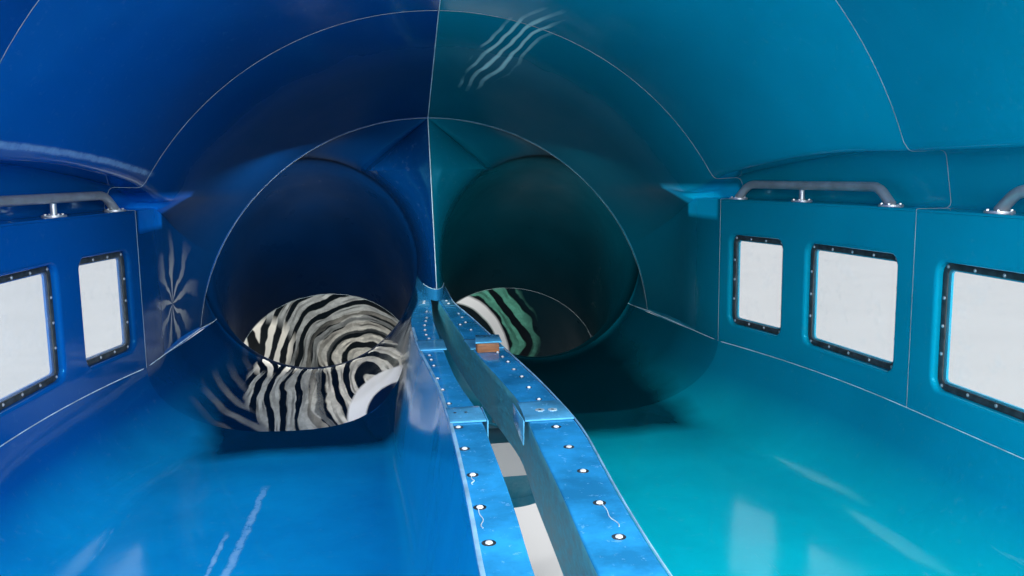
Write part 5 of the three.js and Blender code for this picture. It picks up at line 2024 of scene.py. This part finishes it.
class SLIDE_OT_divider(bpy.types.Operator):
    """Make the divider's bolts, joint plates, the raised strip and the bead of painted highlight along the
    lane edges, resin drips and packing block
    """

    bl_idname = "slide.divider"
    bl_label = "Divider"

    def execute(self, context):
        sizes = context.scene.slide_sizes
        for side in SIDES:
            recesses, heads, plates, washers = bmesh.new(), bmesh.new(), bmesh.new(), bmesh.new()
            divider_fasteners(side, sizes, recesses, heads, washers)
            divider_plates(plates, side)
            mesh_object(f"{side}_divider_recesses", recesses, ["gasket_rubber"])
            mesh_object(f"{side}_divider_bolts", heads, ["bolt_caps"])
            mesh_object(f"{side}_divider_joint_plates", plates, ["joint_plate"])
            if side == "right":
                mesh_object("right_divider_washers", washers, ["seam_sealant"])
            else:
                washers.free()
            drips = [drip(side, y, length) for y, length in DRIPS[side]]
            piped(f"{side}_divider_drips", drips, DRIP_RADIUS, ["seam_sealant"])
        raised = bmesh.new()
        width, height = RAISED_EDGE
        base = DIVIDER_HEIGHT + RAISED_START
        flange_plate(raised, "left", (-width, EDGE_TUCK), REAR_END, RAISED_END, base, height, 40, (1, 1))
        rounded_edges(raised, RAISED_ROUNDING)
        mesh_object("left_divider_edge_highlight", raised, ["pale_edge"])
        edge = [
            placed("right", divider_edges("right", y)[1] + EDGE_TUCK, y, DIVIDER_HEIGHT - EDGE_TUCK)
            for y in spaced(REAR_END, EDGE_BEAD_END, 60)
        ]
        piped("right_divider_edge_highlight", [edge], sizes.bead * 1.3, ["pale_edge"])
        timber, cover = (ON_FLANGE, TIMBER_HEIGHT, TIMBER_EDGE), (COVER_START, COVER, PLATE_EDGE)
        on_right_flange("right_divider_timber", TIMBER_CORNERS, *timber, "packing_timber")
        on_right_flange("right_divider_timber_plate", COVER_CORNERS, *cover, "joint_plate")
        return {"FINISHED"}


BOLT_FROM_EDGE = 0.036
ARCH_MARGIN = 0.05
ROW_MARGIN = 0.06
HOOD_CLEARANCE = 0.01
LEDGE_BOLT_DROP = 0.0105
RING_BOLTS = 28
RING_CLEARANCE = 0.03


def joint_bolt_lines(side, reach):
    """The lines of bolts through the upright flanges, each with its margin."""
    lines = []
    for y in (BAY_JOINT, FUNNEL_JOINT, ARCH_JOINT):
        low = HOOD_FLANGE_TOP + HOOD_CLEARANCE if y < ARCH_JOINT else WALL_BOTTOM
        lines.append((y, vault_arc(y, low, 40, reach), ARCH_MARGIN))
    for y in (BAY_JOINT, FUNNEL_JOINT):
        lines.append((y, [(half_width(y) + reach, z) for z in (WALL_BOTTOM, WALL_TOP)], ROW_MARGIN))
    for y in (TUB_JOINT, FUNNEL_JOINT):
        lines.append((y, offset_line(tub_outside(side, y), reach), ARCH_MARGIN))
    return [([placed(side, x, y, z) for x, z in line], margin) for y, line, margin in lines]


def level_line(side, reach, end, z):
    """A line along the outside of the walls."""
    return [wall_point(side, y, z, reach) for y in spaced(REAR_END, end, 60)]


def ring_bolts(bm, side, distance, reach, size):
    """Bolts round a tube's flange, except where the two flanges come close."""
    turn = ring_matrix(side, distance)
    for k in range(RING_BOLTS):
        at = turn @ round_place(BORE_RADIUS + reach, 2 * math.pi * (k + 0.5) / RING_BOLTS)
        if abs(at.x) > RING_CLEARANCE:
            bolt_through(bm, at, plunge_axis(distance), FLANGE_THICKNESS, size)


class SLIDE_OT_flange_bolts(bpy.types.Operator):
    """Make the bolts through the flanges on the outside"""

    bl_idname = "slide.flange_bolts"
    bl_label = "Flange bolts"

    def execute(self, context):
        sizes = context.scene.slide_sizes
        reach = FLANGE_REACH - BOLT_FROM_EDGE
        size = sizes.flange_bolt
        for side in SIDES:
            bm = bmesh.new()
            for line, margin in joint_bolt_lines(side, reach):
                bolt_row(bm, line, (0, 1, 0), sizes, margin)
            bolt_row(bm, level_line(side, reach, ARCH_JOINT, SEAM_HEIGHT), UP, sizes, ROW_MARGIN)
            ledge = level_line(side, reach, FUNNEL_JOINT, LEDGE_UNDERSIDE)
            for at in walk(ledge, sizes.flange_pitch, ROW_MARGIN):
                hex_head(bm, at - UP * LEDGE_BOLT_DROP, -UP, size)
            for distance in (0, RING_PLACE):
                ring_bolts(bm, side, distance, reach, size)
            mesh_object(f"{side}_flange_bolts", bm, ["galvanised_steel"])
        bm = bmesh.new()
        crown = [placed("right", 0, y, crown_height(y) + reach) for y in spaced(REAR_END, ARCH_JOINT, 60)]
        bolt_row(bm, crown, (1, 0, 0), sizes, ROW_MARGIN)
        mesh_object("crown_flange_bolts", bm, ["galvanised_steel"])
        return {"FINISHED"}


GIRDERS = ("left_girder", "right_girder")
GIRDER_BENTS = ("rear_bent", "middle_bent", "front_bent")
BENTS = (*GIRDER_BENTS, "tube_bent")
POST_PLACE = 1.25
BASE_PLATE_TOP = 0.02
ANCHOR_PLACE = 0.15
ANCHOR_SIZE = 0.018
GIRDER_FLANGE = 0.016
GIRDER_HALF_WEB = 0.006
GIRDER_BOLT_PLACE = 0.047
GIRDER_BOLT_SIZE = 0.013
STIFFENER = 0.008
STIFFENER_REACH = 0.062
STIFFENER_CORNER = 0.0015


def four_round(x, y, reach):
    """Four places round a middle."""
    return [(x + across, y + back) for across in (-reach, reach) for back in (-reach, reach)]


def stiffener(bm, x, y, low, high):
    """An upright plate between a girder's flanges."""
    size = Matrix.Diagonal((STIFFENER_REACH, STIFFENER, high - low, 1))
    bmesh.ops.create_cube(bm, size=1, matrix=Matrix.Translation((x, y, (low + high) / 2)) @ size)


class SLIDE_OT_stand(bpy.types.Operator):
    """Finish the stand, with its anchors, girder bolts and web stiffeners"""

    bl_idname = "slide.stand"
    bl_label = "Stand"

    def execute(self, context):
        for name in GIRDERS + BENTS:
            refinish(name, "galvanised_steel")
        bolts, stiffeners = bmesh.new(), bmesh.new()
        for name in BENTS:
            low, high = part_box(name)
            y = (low.y + high.y) / 2
            for x in (-POST_PLACE, POST_PLACE):
                for spot in four_round(x, y, ANCHOR_PLACE):
                    hex_head(bolts, (*spot, BASE_PLATE_TOP), UP, ANCHOR_SIZE)
            if name not in GIRDER_BENTS:
                continue
            for girder in GIRDERS:
                girder_low, girder_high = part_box(girder)
                x = (girder_low.x + girder_high.x) / 2
                bottom, top = girder_low.z + GIRDER_FLANGE, girder_high.z - GIRDER_FLANGE
                for spot in four_round(x, y, GIRDER_BOLT_PLACE):
                    hex_head(bolts, (*spot, bottom), UP, GIRDER_BOLT_SIZE)
                for side in (-1, 1):
                    middle = x + side * (GIRDER_HALF_WEB + STIFFENER_REACH / 2)
                    stiffener(stiffeners, middle, y, bottom, top)
        rounded_edges(stiffeners, STIFFENER_CORNER)
        mesh_object("stand_bolts", bolts, ["galvanised_steel"])
        mesh_object("girder_stiffeners", stiffeners, ["galvanised_steel"])
        return {"FINISHED"}


SENSOR_WIDTH = 36
WORLD_COLOUR = (0.9, 0.94, 1.0, 1)
SKYLIGHT = (0.95, 0.98, 1.0)


def area_light(name, place, target, size, power, colour=(1, 1, 1), mirrored=False):
    """A flat light that points at a target. Mirroring surfaces show it only where mirrored is set."""
    data = bpy.data.lights.new(name, "AREA")
    data.shape = "RECTANGLE"
    data.size, data.size_y = size
    data.energy = power
    data.color = colour
    light = bpy.data.objects.new(name, data)
    light.location = place
    light.rotation_euler = (Vector(target) - Vector(place)).to_track_quat("-Z", "Y").to_euler()
    light.visible_camera = False
    light.visible_glossy = mirrored
    bpy.context.scene.collection.objects.link(light)
    return light


class SLIDE_OT_stage(bpy.types.Operator):
    """Make the floor, the lights, the world and the camera"""

    bl_idname = "slide.stage"
    bl_label = "Stage"

    def execute(self, context):
        scene = context.scene
        size = scene.slide_sizes.stage_size
        bm = bmesh.new()
        bmesh.ops.create_grid(bm, x_segments=4, y_segments=4, size=size)
        mesh = bpy.data.meshes.new("studio_floor")
        bm.to_mesh(mesh)
        bm.free()
        mesh.materials.append(bpy.data.materials["studio_floor"])
        floor = bpy.data.objects.new("studio_floor", mesh)
        scene.collection.objects.link(floor)
        world = bpy.data.worlds.new("studio")
        world.use_nodes = True
        world.node_tree.nodes["Background"].inputs["Color"].default_value = WORLD_COLOUR
        scene.world = world
        area_light("key", (3.5, -9.0, 7.5), (0, -1.5, 3.0), (5, 4), 700, mirrored=True)
        area_light("entry", (0.25, -4.85, 4.05), (0.15, -0.9, 2.9), (2.3, 1.1), 115, SKYLIGHT, mirrored=True)
        area_light("left_daylight", (-2.6, -1.9, 3.3), (0, -1.9, 2.8), (3.6, 0.9), 60)
        area_light("right_daylight", (2.6, -1.9, 3.3), (0, -1.9, 2.8), (3.6, 0.9), 60)
        area_light("gap_daylight", (-0.2, -2.4, 1.2), (0.05, -2.2, 2.6), (0.5, 2.2), 30)
        area_light("left_mouth_fill", (-0.62, 0.45, 3.66), (-0.6, 0.85, 2.45), (0.35, 0.3), 12)
        area_light("right_mouth_fill", (0.62, 0.45, 3.66), (0.6, 0.85, 2.45), (0.35, 0.3), 2)
        area_light("left_tube_fill", (-0.72, 1.22, 3.2), (-0.72, 3.2, 2.75), (0.7, 0.3), 44)
        area_light("right_tube_fill", (0.72, 1.22, 3.2), (0.72, 3.2, 2.75), (0.7, 0.3), 32)
        camera_data = bpy.data.cameras.new("camera")
        camera_data.lens = CAMERA_LENS
        camera_data.sensor_width = SENSOR_WIDTH
        camera = bpy.data.objects.new("camera", camera_data)
        scene.collection.objects.link(camera)
        turn = Matrix.Rotation(-CAMERA_YAW, 4, "Z") @ Matrix.Rotation(math.pi / 2 - CAMERA_PITCH, 4, "X")
        camera.matrix_world = Matrix.Translation(CAMERA_PLACE) @ turn @ Matrix.Rotation(CAMERA_ROLL, 4, "Z")
        scene.camera = camera
        scene.view_settings.view_transform = "Standard"
        scene.view_settings.look = "None"
        return {"FINISHED"}


OPERATORS = (
    SLIDE_OT_finishes, SLIDE_OT_tubs, SLIDE_OT_walls, SLIDE_OT_vaults, SLIDE_OT_funnels,
    SLIDE_OT_mouths, SLIDE_OT_tubes, SLIDE_OT_seams, SLIDE_OT_windows, SLIDE_OT_grab_bars,
    SLIDE_OT_divider, SLIDE_OT_flange_bolts, SLIDE_OT_stand, SLIDE_OT_stage,
)


class SLIDE_PT_panel(bpy.types.Panel):
    """Lists the sizes, the colours and the pieces"""

    bl_idname = "SLIDE_PT_panel"
    bl_label = "Water slide"
    bl_space_type = "VIEW_3D"
    bl_region_type = "UI"
    bl_category = "Water slide"

    def draw(self, context):
        for group in (context.scene.slide_sizes, context.scene.slide_colours):
            for name in group.__annotations__:
                self.layout.prop(group, name)
        for item in OPERATORS:
            self.layout.operator(item.bl_idname)


CLASSES = (SlideSizes, SlideColours, *OPERATORS, SLIDE_PT_panel)


def register():
    for item in CLASSES:
        bpy.utils.register_class(item)
    bpy.types.Scene.slide_sizes = PointerProperty(type=SlideSizes)
    bpy.types.Scene.slide_colours = PointerProperty(type=SlideColours)


def unregister():
    del bpy.types.Scene.slide_colours
    del bpy.types.Scene.slide_sizes
    for item in reversed(CLASSES):
        bpy.utils.unregister_class(item)


def main():
    register()
    for item in OPERATORS:
        group, name = item.bl_idname.split(".")
        getattr(getattr(bpy.ops, group), name)()


if __name__ == "__main__":
    main()
